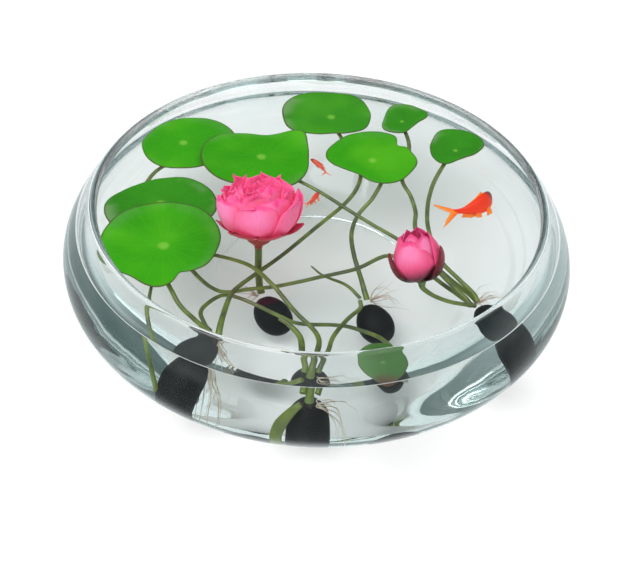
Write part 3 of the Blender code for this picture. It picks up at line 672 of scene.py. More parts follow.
rootPale = finish("root_pale", rootPaint)
rootGrowth = rootTree()
tufts = {
    "roots_1": {"path": [(-34.6, -57.6, 31.2), (-33.6, -59.6, 26), (-32.6, -60.5, 19), (-32.4, -60, 12)],
                "strands": 15, "splay": 5.0, "curl": 13.0},
    "roots_2": {"path": [(-22.8, -21.8, 18.6), (-25, -20.6, 18.5), (-28, -20.5, 16.5), (-30.5, -22.5, 13.5)],
                "strands": 16, "splay": 5.5, "curl": 13.0},
    "roots_3": {"path": [(21.9, -20.8, 17.2), (26, -18.5, 19), (31, -18, 19.5), (36, -21, 17)],
                "strands": 14, "splay": 7.0, "curl": 18.0},
    "roots_4": {"path": [(2.4, -71.4, 29.2), (5, -73, 30.4), (9.5, -72, 28.5), (12.5, -70.5, 23.5),
                         (14, -69, 18)],
                "strands": 7, "splay": 5.0, "curl": 9.0},
    "roots_5": {"path": [(61.6, -33.0, 37.2), (65, -30.5, 37.4), (69, -29.5, 36.6), (73, -31.5, 35)],
                "strands": 16, "splay": 6.0, "curl": 15.0},
}
for number, (tuftName, tuft) in enumerate(tufts.items()):
    source = pathObject(tuftName + "_path", tuft["path"], (1.0, 1.0), 24)
    mesh = grown(tuftName + "_strands", source, rootGrowth, {
        "Strands": tuft["strands"], "Points": rootLook["points"], "Splay": tuft["splay"] * mm,
        "Curl": tuft["curl"] * mm, "Thickness": rootLook["thickness"] * mm, "Seed": 11 + number,
        "Finish": rootPale})
    settle(ready(tuftName + "_grown", mesh, [rootPale]), tuftName)
print("stems and roots ready")


# seeds

seedLook = {"black": (0.004, 0.006, 0.007), "grey": (0.016, 0.021, 0.021), "crown": (0.13, 0.10, 0.05)}
seedShape = {"length": 19.4, "radius": 7.2, "rings": 44, "around": 56,
             "lipFrom": 0.965, "lipDepth": 1.1}  # the cracked lip round the sprout
seeds = {
    "seed_1": ((-42.8, -60.0, 26.2), (-20, 50)),
    "seed_2": ((-16.0, -29.5, 13.1), (-53, -48)),
    "seed_3": ((23.7, -31.5, 12.9), (-62, -44)),
    "seed_4": ((-0.5, -67.5, 18.6), (20, 0)),
    "seed_5": ((68.3, -39.5, 29.7), (-35, -47)),
}


def seedPaint(book):
    end = book.surface()[1]
    speck = book.noise(500.0, 4.0, 0.65)
    cloud = book.noise(90.0, 4.0)
    skin = book.blend(cloud.rise(0.4, 0.7) * speck, seedLook["black"], seedLook["grey"])
    crown = end.rise(0.93, 0.985) * book.noise(420.0, 3.0).rise(0.35, 0.6)
    return {"Base Color": book.blend(crown, skin, seedLook["crown"]), "Roughness": cloud * 0.30 + 0.45,
            "Specular IOR Level": 0.12, "Normal": book.bump(speck, 0.03, 1.0, book.bump(cloud, 0.3)),
            "Coat Weight": 0.01, "Coat Roughness": 0.3}


seedBlack = finish("seed_black", seedPaint)


def seedShell(seed):
    shell = Shell()
    rings, around, lip = seedShape["rings"], seedShape["around"], seedShape["lipFrom"]
    rng = random.Random(seed)
    phases = [rng.uniform(0, 6.28) for _ in range(6)]
    points, corners = [], []
    for i in range(rings + 1):
        lat = math.pi * i / rings
        axis = -math.cos(lat)
        for j in range(around):
            turn = 2 * math.pi * j / around
            wobble = 0.006 * math.sin(3 * turn + phases[0]) + 0.006 * math.sin(2 * turn + 4 * lat + phases[1])
            reach = seedShape["radius"] * (1.0 - 0.06 * axis) * math.sin(lat) * (1.0 + wobble)
            height = 0.5 * seedShape["length"] * axis
            if axis > lip:
                height -= seedShape["lipDepth"] * (axis - lip) / 0.035 * (
                    0.7 + 0.3 * math.sin(7 * turn + phases[2]))
            points.append((reach * math.cos(turn), reach * math.sin(turn), height))
    for i in range(rings):
        for j in range(around):
            corners.append([(j / around, i / rings), ((j + 1) / around, i / rings),
                            ((j + 1) / around, (i + 1) / rings), (j / around, (i + 1) / rings)])
    shell.add(points, lapFaces(rings, around), corners)
    return shell


for number, (seedName, (centre, tilt)) in enumerate(seeds.items()):
    mesh = shellMesh(seedName + "_shell", seedShell(number), placed(centre, *tilt))
    settle(ready(seedName + "_nut", mesh, [seedBlack]), seedName)
print("seeds ready")


# leaves

leafLook = {
    "bright": {"deep": (0.026, 0.270, 0.003), "blade": (0.038, 0.350, 0.004), "light": (0.085, 0.430, 0.009),
               "sheenShare": 0.15, "middle": 0.75},
    "dark": {"deep": (0.024, 0.185, 0.008), "blade": (0.032, 0.265, 0.008), "light": (0.062, 0.330, 0.014),
             "sheenShare": 0.50, "middle": 0.70},
    "young": {"deep": (0.035, 0.100, 0.020), "blade": (0.050, 0.165, 0.028), "light": (0.150, 0.300, 0.110),
              "sheenShare": 0.30, "middle": 0.30},
    "edge": (0.070, 0.038, 0.022), "spot": (0.200, 0.520, 0.055), "under": (0.160, 0.150, 0.060),
    "sheen": (0.250, 0.360, 0.190), "tip": (0.110, 0.045, 0.030), "tipAt": 0.75,
}
# size: a leaf's usual millimetres from the middle to the edge, for the width of its veins
leafShape = {"thick": 0.55, "low": 53.4, "around": 120, "rings": 20, "veins": 19, "size": 20.0}
leaves = {  # reach: millimetres from the middle to the edge, every 30 degrees from +X
    "leaf_a": {"at": (-57.5, 47.5), "reach": (21.5, 22.5, 20.5, 17.8, 16.5, 16, 17, 17.5, 19, 17.5, 18, 20)},
    "leaf_b": {"at": (-24.5, 38.5),
               "reach": (19.5, 20.5, 17.5, 15.5, 17.5, 22.5, 25, 24.5, 22.5, 20.5, 21.5, 21),
               "tilt": (-0.065, 0.0), "bumps": [(46, 13, 0.22)], "curl": [(46, 24, 3.5)]},
    "leaf_c": {"at": (-62.5, 6.0), "reach": (22.5, 21.5, 19.5, 16.5, 15.5, 17, 21, 23, 22, 19, 19, 21),
               "look": "dark"},
    "leaf_d": {"at": (-58.5, -21.5),
               "reach": (20.8, 23.5, 25, 24.5, 24.5, 25, 24.5, 23, 20.8, 22.5, 17.5, 19.5),
               "tilt": (0.0, 0.055), "bumps": [(-62, 9, -0.10)], "curl": [(90, 60, 0.6)]},
    "leaf_e": {"at": (3.7, 71.0), "reach": (17, 18, 19.5, 18.5, 21, 22.5, 20.8, 20, 14.5, 12, 13.5, 16),
               "look": "dark"},
    "leaf_f": {"at": (21.3, 40.5), "reach": (18.5, 17.5, 20, 20, 19.5, 19, 19, 12.8, 10.8, 14.3, 16.4, 16.8),
               "tilt": (0.0, 0.035), "bumps": [(46, 9, -0.20)]},
    "leaf_g": {"at": (34.0, 70.0), "reach": (7.5, 13, 11.5, 10, 9, 7.8, 8, 9.8, 10.5, 9.5, 6.5, 6),
               "fold": (30, 0.30), "look": "dark"},
    "leaf_h": {"at": (56.0, 50.5), "reach": (10, 14.2, 13, 11.8, 12, 11, 10.7, 11.2, 11.8, 7.5, 6.5, 7.5),
               "fold": (25, 0.25), "look": "dark"},
    "leaf_young": {"at": (0.0, 0.0), "reach": (8.8, 9.0, 9.6, 10, 9.6, 9.0, 8.8, 9.0, 10, 11.6, 10, 9.0),
                   "fold": (90, 0.12), "low": 0.0, "look": "young"},
}
youngLeafAt = {"centre": (24.5, -76.0, 50.0), "pitch": -5.0, "turn": 6.0}


def leafPaint(look):
    colours = leafLook[look]

    def paint(book):
        around, out = book.surface()
        warped = around + (book.noise(110.0, 2.0) - 0.5) * 0.016

        def veins(count, width, shift=0.0):
            place = (warped * count + shift).itself("FRACT")
            across = (place - 0.5).itself("ABSOLUTE") * (2 * math.pi * leafShape["size"] / count) * out
            return across.rise(0.0, width, 1.0, 0.0)

        main = veins(leafShape["veins"], 0.42)
        fine = veins(leafShape["veins"] * 2.0, 0.30, 0.25) * out.rise(0.45, 0.6)
        net = book.node("ShaderNodeTexVoronoi", {"feature": "DISTANCE_TO_EDGE"},
                        {"Vector": book.point(), "Scale": 620.0}).rise(0.0, 0.12, 1.0, 0.0)
        tint = book.noise(45.0, 4.0).rise(0.3, 0.72)
        mottle = book.noise(700.0, 3.0)
        blade = book.blend(tint * 0.75 + mottle * 0.15, colours["blade"], colours["deep"])
        lit = book.blend(book.noise(28.0, 2.0).rise(0.45, 0.70, 0.0, 0.75), blade, colours["light"])
        lined = book.blend(main * 0.16 + fine * 0.09 + net * 0.05, lit, colours["light"])
        spot = (out + (mottle - 0.5) * 0.03).rise(0.04, 0.13, colours["middle"], 0.0)
        spotted = book.blend(spot, lined, leafLook["spot"])
        # painted sheen: near the rim the blade is blended toward a pale grey-green in place of the sky's
        # reflection on the waxy leaf, more strongly on the dark leaves
        paintedSheen = out.rise(0.72, 0.97) * book.noise(42.0, 3.0).rise(0.46, 0.62) * colours["sheenShare"]
        sheened = book.blend(paintedSheen, spotted, leafLook["sheen"])
        noisy = (out + (book.noise(170.0, 3.0) - 0.5) * 0.035).rise(0.962, 0.994)
        edged = book.blend(noisy * 0.75, sheened, leafLook["edge"])
        if look == "young":  # brown where it first unrolls
            quarter = (around - leafLook["tipAt"]).itself("ABSOLUTE").rise(0.02, 0.10, 1.0, 0.0)
            edged = book.blend(quarter * out.rise(0.45, 0.95) * 0.9, edged, leafLook["tip"])
        under = book.stored("side").rise(0.3, 0.7, 0.75, 0.0)
        relief = main * 0.4 + fine * 0.25 + mottle * 0.12 + net * 0.08
        return {"Base Color": book.blend(under, edged, leafLook["under"]),
                "Roughness": mottle * 0.12 + tint * 0.08 + 0.34, "Specular IOR Level": 0.12,
                "Coat Weight": 0.02, "Coat Roughness": 0.2,
                "Normal": book.bump(relief, 0.06, 1.0, book.bump(tint, 0.5))}
    return paint


def leafReach(angle, spec):
    # smooth curve through the reaches, then notches and corners
    reach = spec["reach"]
    turn = (angle / (2 * math.pi)) % 1.0 * len(reach)
    k, f = int(turn), turn - int(turn)
    smooth = through(*(reach[(k + step) % len(reach)] for step in (-1, 0, 1, 2)), f)
    factor = 1.0 + 0.007 * math.sin(5 * angle + reach[0]) + 0.005 * math.sin(9 * angle + reach[3])
    for at, width, size in spec.get("bumps", ()):
        away = math.remainder(angle - math.radians(at), 2 * math.pi)
        factor += size * math.exp(-(away / math.radians(width)) ** 2)
    return smooth * factor


def leafHeight(x, y, rho, angle, spec):
    tiltX, tiltY = spec.get("tilt", (0.0, 0.0))
    height = tiltX * x + tiltY * y
    height += 0.25 * rho * rho * (1.0 + math.sin(3 * angle + spec["reach"][0]))
    for at, width, rise in spec.get("curl", ()):
        turn = math.remainder(angle - math.radians(at), 2 * math.pi)
        height += rise * rho ** 3 * math.exp(-(turn / math.radians(width)) ** 2)
    if "fold" in spec:
        along, steep = spec["fold"]
        across = -x * math.sin(math.radians(along)) + y * math.cos(math.radians(along))
        height += steep * (math.sqrt(across * across + 1.0) - 1.0) * (1.0 if across > 0 else 0.35)
    return height


def leafShell(spec):
    cx, cy = spec["at"]
    around, rings = leafShape["around"], leafShape["rings"]
    middle = sum(spec["reach"]) / len(spec["reach"])
    levels = [1.0 - (1.0 - k / rings) ** 1.25 for k in range(rings + 1)]
    grid, coords = [], []
    for rho in levels:
        ring = []
        for k in range(around):
            angle = 2 * math.pi * k / around
            reach = rho * (middle + (leafReach(angle, spec) - middle) * rho)
            x, y = reach * math.cos(angle), reach * math.sin(angle)
            ring.append((x, y, leafHeight(x, y, rho, angle, spec)))
        grid.append(ring)
        coords.append([(k / around, rho) for k in range(around + 1)])
    lowest = min(point[2] for ring in grid for point in ring)
    base = spec.get("low", leafShape["low"]) - lowest + 0.5 * leafShape["thick"]
    shell = Shell()
    addSheet(shell, [[(cx + x, cy + y, z + base) for x, y, z in ring] for ring in grid], coords,
             leafShape["thick"], wrap=True)
    return shell


leafSlots = {"bright": "leaf_green", "dark": "leaf_dark_green", "young": "leaf_young"}
leafFinishes = {look: finish(name, leafPaint(look)) for look, name in leafSlots.items()}
youngPlace = placed(youngLeafAt["centre"], youngLeafAt["pitch"], 0.0, youngLeafAt["turn"])
for leafName, leafSpec in leaves.items():
    look = leafSpec.get("look", "bright")
    mesh = shellMesh(leafName + "_blade", leafShell(leafSpec), youngPlace if look == "young" else None)
    settle(ready(leafName + "_pad", mesh, [leafFinishes[look]]), leafName)
print("leaves ready")


# flowers

petalLook = {
    "pink": {"base": (0.66, 0.045, 0.060), "body": (0.92, 0.150, 0.32), "light": (0.95, 0.25, 0.51),
             "tip": (0.93, 0.065, 0.270), "inner": (0.95, 0.125, 0.330), "start": 0.02, "stop": 0.34,
             "glow": 0.12},  # painted glow: the petals give off faint light of their own, which lifts their shaded parts
    "crimson": {"base": (0.42, 0.020, 0.020), "body": (0.50, 0.022, 0.050), "light": (0.78, 0.080, 0.170),
                "tip": (0.13, 0.010, 0.018), "inner": (0.66, 0.045, 0.120), "start": 0.10, "stop": 0.55,
                "glow": 0.0},
    "magenta": {"base": (0.050, 0.010, 0.014), "body": (0.80, 0.085, 0.215), "light": (0.90, 0.23, 0.45),
                "tip": (0.80, 0.055, 0.230), "inner": (0.80, 0.090, 0.290), "start": 0.24, "stop": 0.60,
                "glow": 0.06},
    "maroon": {"base": (0.016, 0.008, 0.008), "body": (0.120, 0.012, 0.016), "light": (0.30, 0.022, 0.040),
               "tip": (0.22, 0.018, 0.030), "inner": (0.34, 0.024, 0.070), "start": 0.22, "stop": 0.66,
               "glow": 0.0},
}


def petalPaint(look):
    colours = petalLook[look]

    def paint(book):
        across, along = book.surface()
        uv = book.node("ShaderNodeUVMap", {"uv_map": "surface"})
        tone = book.stored("tone")
        fibre = book.noise(1.0, 4.0, 0.6, at=book.stretched((60.0, 4.0, 1.0), uv))
        cloud = book.noise(150.0, 3.0)
        body = book.blend(along.rise(colours["start"], colours["stop"]), colours["base"], colours["body"])
        off = (across - 0.5).itself("ABSOLUTE")
        # painted highlight: the upper middle of each petal is blended toward its light colour, more on some
        # petals than others
        high = along.rise(0.50, 0.80) * along.rise(0.90, 0.98, 1.0, 0.0) * off.rise(0.10, 0.44, 1.0, 0.0)
        lit = book.blend(high * (cloud * 0.6 + tone * 0.9 - 0.25).rise(0.1, 0.9), body, colours["light"])
        ragged = along + (book.noise(420.0, 3.0) - 0.5) * 0.10
        tipped = book.blend(ragged.rise(0.90, 0.98) * 0.9, lit, colours["tip"])
        edged = book.blend(off.rise(0.43, 0.50) * along.rise(0.3, 0.6) * 0.45, tipped, colours["tip"])
        inside = book.blend(book.stored("side").rise(0.4, 0.6) * 0.85, edged, colours["inner"])
        streaks = book.blend(fibre.rise(0.45, 0.72) * 0.30, inside, colours["tip"])
        final = book.blend(fibre.rise(0.50, 0.30, 0.0, 1.0) * 0.22, streaks, colours["light"])
        # painted glow: the petals faintly emit their own colour
        return {"Base Color": final, "Emission Color": final, "Emission Strength": colours["glow"],
                "Roughness": fibre * 0.2 + 0.42, "Specular IOR Level": 0.2,
                "Sheen Weight": 0.06, "Sheen Roughness": 0.4,
                "Normal": book.bump(fibre, 0.10, 1.0, book.bump(cloud, 0.3)),
                "Subsurface Weight": 0.10, "Subsurface Scale": 0.002,
                "Subsurface Radius": (1.0, 0.35, 0.4)}
    return paint


def petalGrid(spec, turn, rng, rows=24, cols=21):
    # rows run from base to tip, columns from edge to edge, on a curved line turned about the axis
    shape, half, wide = spec["shape"], spec["half"], spec.get("wide", 0.62)
    phase, skew = rng.uniform(0, 6.28), rng.uniform(-1, 1)
    stretch = 1.0 + rng.uniform(-1, 1) * spec.get("vary", 0.04)
    ct, st = math.cos(turn), math.sin(turn)
    grid, coords = [], []
    for i in range(rows):
        row = []
        for j in range(cols):
            u = 2 * j / (cols - 1) - 1
            s = i / (rows - 1)
            swell = 0.34 + 0.66 * math.sin(0.5 * math.pi * min(s / wide, 1.0))
            close = max(1.0 - (max(s - wide, 0.0) / (1.0 - wide)) ** spec.get("round", 2.2), 0.0)
            width = max(half * swell * close ** spec.get("point", 0.6), 0.25)
            # the top edge dips and rises across the petal
            wave = 0.5 + 0.5 * math.sin(5.2 * u + phase) * math.cos(2.3 * u + 2.0 * phase)
            s *= 1.0 - spec.get("fringe", 0.0) * wave * s ** 4
            r, z = bezier(shape, s)
            (ra, za), (rb, zb) = bezier(shape, max(s - 0.02, 0.0)), bezier(shape, min(s + 0.02, 1.0))
            length = math.hypot(rb - ra, zb - za)
            nr, nz = -(zb - za) / length, (rb - ra) / length
            hug = max(spec.get("cup", 1.0) * r, 2.5)
            theta = max(min(u * width / hug, 1.9), -1.9)
            side = hug * math.sin(theta) + spec.get("skew", 0.0) * skew * s ** 3
            lift = hug * (1 - math.cos(theta))
            lift += spec.get("ruffle", 0.0) * math.sin(3.3 * u + phase) * s * s
            lift += spec.get("shingle", 0.0) * u - spec.get("tipCurl", 0.0) * s ** 6
            rr, zz = (r + nr * lift) * stretch, (z + nz * lift) * stretch
            row.append((rr * ct - side * st, rr * st + side * ct, zz))
        grid.append(row)
        coords.append([(j / (cols - 1), i / (rows - 1)) for j in range(cols)])
    return grid, coords


lotus = {
    "at": (-22.5, -16.7, 53.4), "lean": (-20.0, 0.0), "thick": 0.42,
    "rings": [
        {"name": "lotus_petal_outer", "turns": (0, 60, 120, 180, 240, 300), "look": "crimson",
         "shape": ((4.8, 3.4), (9.2, 5.2), (13.4, 6.0), (16.8, 10.0)), "half": 7.2,
         "cup": 1.3, "point": 0.95, "round": 1.5, "wide": 0.45, "shingle": 0.3, "tipCurl": 0.4, "vary": 0.05},
        {"name": "lotus_petal_inner", "turns": (28, 92, 150, 208, 268, 330), "look": "pink",
         "shape": ((4.4, 4.4), (13.6, 5.2), (16.2, 12.0), (15.2, 21.0)), "half": 9.2,
         "point": 0.36, "round": 3.0, "wide": 0.60, "shingle": 0.7, "ruffle": 0.8, "fringe": 0.08,
         "skew": 1.5, "vary": 0.04},
    ],
    "heart": [  # from the outermost layer inward
        {"turns": turns, "shape": shape, "half": half, "point": 0.36, "round": full, "shingle": shingle,
         "ruffle": ruffle, "fringe": fringe, "skew": skew, "vary": vary}
        for turns, shape, half, full, shingle, ruffle, fringe, skew, vary in (
            ((0, 62, 118, 182, 240, 298), ((4.0, 4.6), (13.0, 5.4), (15.0, 14.0), (13.8, 24.0)),
             8.4, 3.0, 0.6, 0.8, 0.10, 1.5, 0.04),
            ((32, 88, 152, 212, 272, 334), ((3.4, 4.8), (11.2, 6.0), (13.0, 15.0), (11.2, 25.4)),
             7.4, 2.8, 0.5, 0.7, 0.10, 1.4, 0.04),
            ((4, 70, 118, 186, 244, 300), ((2.6, 5.2), (8.6, 7.0), (10.6, 16.0), (7.8, 25.4)),
             6.2, 2.8, 0.4, 0.6, 0.10, 1.2, 0.04),
            ((40, 112, 180, 250, 325), ((1.8, 5.4), (6.0, 7.0), (7.6, 15.0), (4.6, 24.8)),
             5.2, 2.8, 0.3, 0.5, 0.08, 0.0, 0.05),
            ((10, 100, 190, 280), ((1.0, 5.6), (3.2, 7.0), (4.8, 15.0), (1.8, 23.6)),
             4.0, 2.8, 0.3, 0.4, 0.08, 0.0, 0.05),
        )
    ],
}
bud = {
    "at": (39.5, -35.5, 54.4), "lean": (-20.0, -15.0), "thick": 0.42,
    "rings": [
        {"name": "bud_petal_outer", "turns": (-18, 100, 197), "look": "maroon",
         "shape": ((2.2, 1.0), (10.0, 1.8), (11.4, 8.0), (10.2, 15.0)), "half": 6.0, "cup": 1.0,
         "point": 0.75, "round": 1.8, "wide": 0.45, "shingle": 0.3},
        {"name": "bud_petal_inner", "turns": (15, 137, 256), "look": "magenta",
         "shape": ((2.0, 1.8), (10.4, 2.6), (11.0, 12.0), (4.9, 19.0)), "half": 9.6, "cup": 1.0,
         "point": 0.62, "round": 2.2, "wide": 0.52, "shingle": 0.5, "fringe": 0.04},
    ],
    "heart": [
        {"turns": (75, 195, 318), "shape": ((1.8, 2.6), (9.0, 3.6), (9.4, 13.0), (4.4, 20.4)), "half": 8.0,
         "cup": 1.0, "point": 0.6, "round": 2.2, "wide": 0.5, "shingle": 0.4, "fringe": 0.05},
        {"turns": (20, 140, 262), "shape": ((1.2, 3.4), (6.6, 4.4), (6.8, 13.0), (2.6, 20.2)), "half": 5.4,
         "cup": 1.0, "point": 0.6, "round": 2.2, "wide": 0.5, "shingle": 0.3},
    ],
}
petalSlots = {"pink": "petal_pink", "crimson": "petal_crimson", "magenta": "bud_magenta",
              "maroon": "bud_maroon"}
petalFinishes = {look: finish(name, petalPaint(look)) for look, name in petalSlots.items()}


def settlePetals(name, ending, node, shell, look, place):
    mesh = shellMesh(name, shell, place)
    settle(ready(node + ending, mesh, [petalFinishes[look]]), node)


def buildFlower(flower, heartName, heartLook, seed):
    rng = random.Random(seed)
    place = placed(flower["at"], *flower["lean"])
    for ring in flower["rings"]:
        for k, heading in enumerate(ring["turns"]):
            turn = math.radians(heading)
            shell = Shell()
            grid, coords = petalGrid(ring, turn, rng)
            addSheet(shell, grid, coords, flower["thick"], rng.uniform(0.2, 1.0))
            nodeName = f"{ring['name']}_{k + 1}"
            settlePetals(nodeName + "_blade", "_curved", nodeName, shell, ring["look"], place)
    shell = Shell()
    for ring in flower["heart"]:
        for heading in ring["turns"]:
            grid, coords = petalGrid(ring, math.radians(heading), rng, 18, 15)
            addSheet(shell, grid, coords, flower["thick"], rng.uniform(0.0, 1.0))
    settlePetals(heartName + "_petals", "_cluster", heartName, shell, heartLook, place)


buildFlower(lotus, "lotus_heart", "pink", 4)
buildFlower(bud, "bud_heart", "magenta", 9)


receptacleLook = {"dark": (0.20, 0.010, 0.012), "red": (0.46, 0.055, 0.030), "from": 52.2, "to": 54.0}


def receptaclePaint(book):  # green below, red under the flower
    height = book.node("ShaderNodeSeparateXYZ", None, {0: book.point()}).other("Z")
    fibre = book.noise(1.0, 3.0, at=book.stretched((900.0, 900.0, 160.0)))
    green = book.blend(fibre, stemLook["deep"], stemLook["olive"])
    red = book.blend(fibre, receptacleLook["dark"], receptacleLook["red"])
    change = height.rise(receptacleLook["from"] * mm, receptacleLook["to"] * mm)
    return {"Base Color": book.blend(change, green, red), "Roughness": fibre * 0.2 + 0.36,
            "Normal": book.bump(fibre, 0.06)}


receptacle = finish("petal_crimson_base", receptaclePaint)
lotusStem = [(-21.0, -20.4, 18.6), (-21.9, -18.4, 22), (-22.3, -17.4, 30), (-22.5, -16.9, 38),
             (-22.5, -17.6, 51.4), (-22.5, -16.7, 53.4), (-22.5, -16.0, 55.4), (-22.5, -15.3, 57.3)]
growStem("stem_lotus", lotusStem, (1.5, 1.4, 1.4, 1.4, 1.4, 1.7, 4.6, 5.6), receptacle,
         {"Points": 90, "Sides": 20, "Knobble": 0.4 * mm, "Seed": 77.0})
print("flowers ready")


# goldfish

fishLook = {
    "gold": {"back": (0.84, 0.026, 0.001), "belly": (0.98, 0.045, 0.001), "fin": (0.95, 0.30, 0.015),
             "snout": (0.060, 0.008, 0.012)},
    "red": {"back": (0.70, 0.040, 0.020), "belly": (0.86, 0.120, 0.055), "fin": (0.88, 0.30, 0.16),
            "snout": (0.30, 0.020, 0.020)},
}
# roll leans the back over to the fish's left; bend bows the body to its right; deep scales its height
fishes = {
    "goldfish": {"at": (59.1, 17.4, 49.0), "heading": 41.0, "length": 27.0, "roll": 38.0, "bend": 0.13,
                 "deep": 1.15, "tail": 1.0, "look": "gold"},
    "small_fish_1": {"at": (0.2, 36.5, 51.4), "heading": 125.0, "length": 14.5, "roll": 25.0, "bend": 0.04,
                     "deep": 0.8, "tail": 0.6, "look": "red"},
    "small_fish_2": {"at": (-3.2, 14.5, 51.6), "heading": 62.0, "length": 12.0, "roll": 25.0, "bend": 0.03,
                     "deep": 0.8, "tail": 0.6, "look": "red"},
}
fishBody = [  # distance from the nose, half height and half width, as shares of the length
    (0.000, 0.030, 0.022), (0.015, 0.055, 0.040), (0.060, 0.090, 0.060), (0.120, 0.118, 0.074),
    (0.200, 0.138, 0.082), (0.300, 0.140, 0.082), (0.400, 0.122, 0.070), (0.500, 0.094, 0.052),
    (0.600, 0.064, 0.034), (0.680, 0.046, 0.020), (0.740, 0.042, 0.012),
]
bodyEnd = 0.74  # the share of the length that is body; the tail fin is the rest


def fishPaint(look):
    colours = fishLook[look]

    def paint(book):
        along, side = book.surface()
        tone = book.stored("tone")
        scale = book.node("ShaderNodeTexVoronoi", {"feature": "F1"},
                          {"Vector": book.point(), "Scale": 1100.0})
        cloud = book.noise(260.0, 3.0)
        body = book.blend(side.rise(0.25, 0.75) * 0.55 + cloud * 0.3, colours["belly"], colours["back"])
        snout = along.rise(0.05, 0.15, 1.0, 0.0)
        face = book.blend(snout * (cloud * 0.4 + 0.75), body, colours["snout"])
        uv = book.node("ShaderNodeUVMap", {"uv_map": "surface"})
        ray = book.noise(1.0, 3.0, at=book.stretched((6.0, 60.0, 1.0), uv))
        fin = book.blend(ray.rise(0.35, 0.65) * along.rise(0.3, 0.9, 1.0, 0.25), colours["fin"],
                         colours["belly"])
        return {"Base Color": book.blend(tone.rise(0.4, 0.6), face, fin), "Roughness": scale * 0.15 + 0.3,
                "Specular IOR Level": 0.25, "Coat Weight": 0.1, "Coat Roughness": 0.1,
                "Normal": book.bump(scale, 0.06, 1.0, book.bump(ray, 0.05))}
    return paint


def fishShell(fish):
    shell = Shell()
    around = 28
    length, deep = fish["length"], fish["deep"]
    roll = math.radians(fish["roll"])
    half = 0.5 * bodyEnd

    def spot(at, high=0.0, out=0.0):
        # a point beside the bowed spine: at counts from the nose, high is over the back, out to the left
        bow = 1.0 - ((min(at, bodyEnd) - half) / half) ** 2
        past = max(at - bodyEnd, 0.0) * 2.0 / half
        sway = -fish["bend"] * (bow - past)
        return Vector((0.5 - at, sway + high * math.sin(roll) + out * math.cos(roll),
                       high * math.cos(roll) - out * math.sin(roll)))

    points, corners = [], []
    for at, high, wide in fishBody:
        for j in range(around):
            turn = 2 * math.pi * j / around
            points.append(spot(at, high * deep * math.sin(turn), wide * math.cos(turn)) * length)
    levels = [0.5 + 0.5 * math.sin(2 * math.pi * j / around) for j in range(around + 1)]
    for low, high in zip(fishBody, fishBody[1:]):
        for j in range(around):
            corners.append([(low[0], levels[j]), (low[0], levels[j + 1]), (high[0], levels[j + 1]),
                            (high[0], levels[j])])
    last = (len(fishBody) - 1) * around
    faces = lapFaces(len(fishBody) - 1, around)
    faces += [tuple(range(around)), tuple(range(last, last + around))]
    corners += [[(0.0, 0.5)] * around, [(bodyEnd, 0.5)] * around]
    shell.add(points, faces, corners, 0.0)

    def fin(root, tips, notch=0.0, frill=0.0, rows=9, cols=13):
        # a thin fan from a root line out to an edge between two tips
        grid, coords = [], []
        for i in range(rows):
            s = i / (rows - 1)
            row = []
            for j in range(cols):
                v = j / (cols - 1)
                reach = s * (1.0 - notch * math.sin(math.pi * v) ** 1.3)
                reach *= 1.0 - frill * (0.5 + 0.5 * math.cos(9.0 * math.pi * v)) * s
                point = root[0].lerp(root[1], v).lerp(tips[0].lerp(tips[1], v), reach)
                row.append(tuple(point * length))
            grid.append(row)
            coords.append([(s, j / (cols - 1)) for j in range(cols)])
        addSheet(shell, grid, coords, 0.018 * length, 1.0)

    front, back, vent = 0.138 * deep, 0.085 * deep, 0.06 * deep  # half heights along the body
    tail = spot(0.70)
    fin((spot(0.70, 0.036), spot(0.70, -0.036)),
        (tail + Vector((-0.21, 0.37, 0.03)) * fish["tail"],
         tail + Vector((-0.42, -0.14, -0.06)) * fish["tail"]), 0.60, 0.10)
    fin((spot(0.16, front - 0.03), spot(0.50, back - 0.02)), (spot(0.17, front + 0.05), spot(0.56, back)),
        0.25, 0.10)
    fin((spot(0.50, 0.02 - back), spot(0.64, 0.02 - vent)), (spot(0.56, -0.19), spot(0.70, -0.15)), 0.1, 0.2)
    for way in (-1, 1):  # breast and belly fins on both sides
        fin((spot(0.20, -0.07, way * 0.060), spot(0.28, -0.09, way * 0.060)),
            (spot(0.26, -0.21, way * 0.11), spot(0.38, -0.21, way * 0.09)), 0.0, 0.2)
        fin((spot(0.40, -0.10, way * 0.030), spot(0.47, -0.09, way * 0.030)),
            (spot(0.44, -0.20, way * 0.07), spot(0.53, -0.18, way * 0.06)), 0.0, 0.2)
    return shell


fishSlots = {"gold": "fish_orange", "red": "fish_red"}
fishFinishes = {look: finish(name, fishPaint(look)) for look, name in fishSlots.items()}
for fishName, fish in fishes.items():
    mesh = shellMesh(fishName + "_body", fishShell(fish), placed(fish["at"], turn=fish["heading"]))
    settle(ready(fishName + "_swimming", mesh, [fishFinishes[fish["look"]]]), fishName)
print("fish ready")


# floor, light and camera

floorSize = 2.4
floorMesh = bpy.data.meshes.new("floor")
floorMesh.from_pydata([(-floorSize, -floorSize, 0), (floorSize, -floorSize, 0), (floorSize, floorSize, 0),
                       (-floorSize, floorSize, 0)], [], [(0, 1, 2, 3)])
floor = bpy.data.objects.new("floor", floorMesh)
floorMesh.materials.append(finish("floor_white", lambda book: {
    "Base Color": book.blend(book.noise(3.0), (0.93, 0.93, 0.93), (0.95, 0.95, 0.95)), "Roughness": 0.9,
    "Specular IOR Level": 0.1, "Emission Color": (1.0, 1.0, 1.0), "Emission Strength": 0.10}))
floor.location.z = -0.0004
floor.visible_glossy = False  # the glass mirrors the dim lower studio and not the table
bpy.context.scene.collection.objects.link(floor)

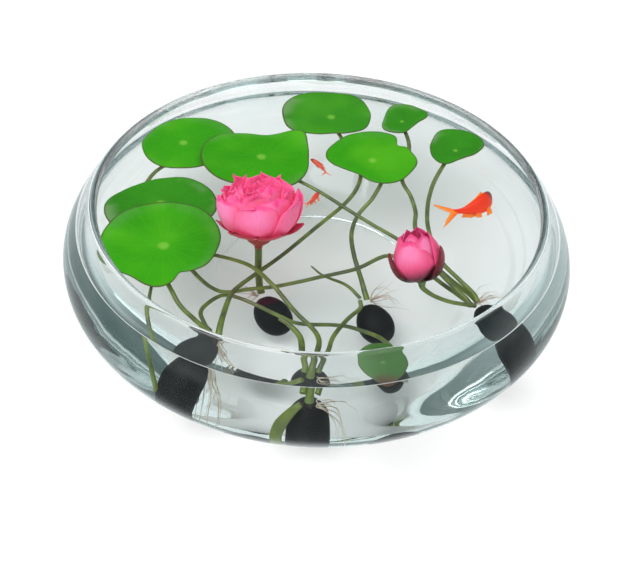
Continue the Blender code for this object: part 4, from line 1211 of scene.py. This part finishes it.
studio = {
    "sky": (1.0, 1.0, 1.0), "wall": (0.095, 0.145, 0.140), "horizon": (0.80, 0.86, 0.87),
    "wall side": (0.75, 0.66, 0.0), "wall share": 0.55, "sky strength": 1.05,
    # two dim places that the glass and the water mirror: behind the viewer, low, and high at the far side
    "dim": (0.16, 0.18, 0.18), "dim low": (0.0, -1.0, 0.0), "dim high": (0.0, 0.73, 0.68),
    "softbox": 7.0, "softbox size": 0.9, "softbox at": (-0.35, -0.25, 1.25),
}
world = bpy.data.worlds.new("studio")
world.use_nodes = True
world.node_tree.nodes.clear()
book = Book(world.node_tree)
direction = book.node("ShaderNodeTexCoord").other("Generated")
up = book.node("ShaderNodeSeparateXYZ", None, {0: direction}).other("Z")
toward = book.facing(direction, studio["wall side"])
darker = up.rise(0.10, 0.24) * up.rise(0.46, 0.72, 1.0, 0.0)
around = toward.rise(-0.4, 0.7, studio["wall share"], 1.0)
low = book.blend(up.rise(0.15, 0.6), studio["horizon"], studio["sky"])
sky = book.blend(darker * around, low, studio["wall"])
behind = book.facing(direction, studio["dim low"]).rise(-0.35, 0.20)
sky = book.blend(behind * up.rise(-0.10, 0.12, 1.0, 0.0) * 0.9, sky, studio["dim"])
beyond = book.facing(direction, studio["dim high"]).rise(0.84, 0.97)
sky = book.blend(beyond * 0.85, sky, studio["dim"])
seen = book.node("ShaderNodeLightPath").other("Is Camera Ray")
shown = book.blend(seen, sky, studio["sky"])
light = book.node("ShaderNodeBackground", None, {"Color": shown, "Strength": studio["sky strength"]})
book.node("ShaderNodeOutputWorld", None, {"Surface": light})
bpy.context.scene.world = world

lampData = bpy.data.lights.new("softbox", "AREA")
lampData.shape = "DISK"
lampData.size = studio["softbox size"]
lampData.energy = studio["softbox"]
lamp = bpy.data.objects.new("softbox", lampData)
lamp.location = studio["softbox at"]
lamp.rotation_euler = (-Vector(studio["softbox at"])).to_track_quat("-Z", "Y").to_euler()
bpy.context.scene.collection.objects.link(lamp)

cameraSpec = {"at": (-1.962, -453.430, 413.075), "target": (-1.962, 0.0, 19.941), "width": 23.777,
              "roll": 2.555}
cameraData = bpy.data.cameras.new("camera")
cameraData.sensor_fit = "HORIZONTAL"
cameraData.angle = math.radians(cameraSpec["width"])
cameraData.clip_start = 0.01
camera = bpy.data.objects.new("camera", cameraData)
camera.location = Vector(cameraSpec["at"]) * mm
aim = (Vector(cameraSpec["target"]) - Vector(cameraSpec["at"])).to_track_quat("-Z", "Y")
camera.rotation_euler = (aim @ Quaternion((0, 0, 1), math.radians(cameraSpec["roll"]))).to_euler()
bpy.context.scene.collection.objects.link(camera)
bpy.context.scene.camera = camera
bpy.context.scene.view_settings.view_transform = "Standard"
lightPaths = bpy.context.scene.cycles  # enough turns for light to leave the thick glass
lightPaths.max_bounces = 40
lightPaths.transmission_bounces = 40
lightPaths.glossy_bounces = 24
lightPaths.diffuse_bounces = 3
print("studio ready")
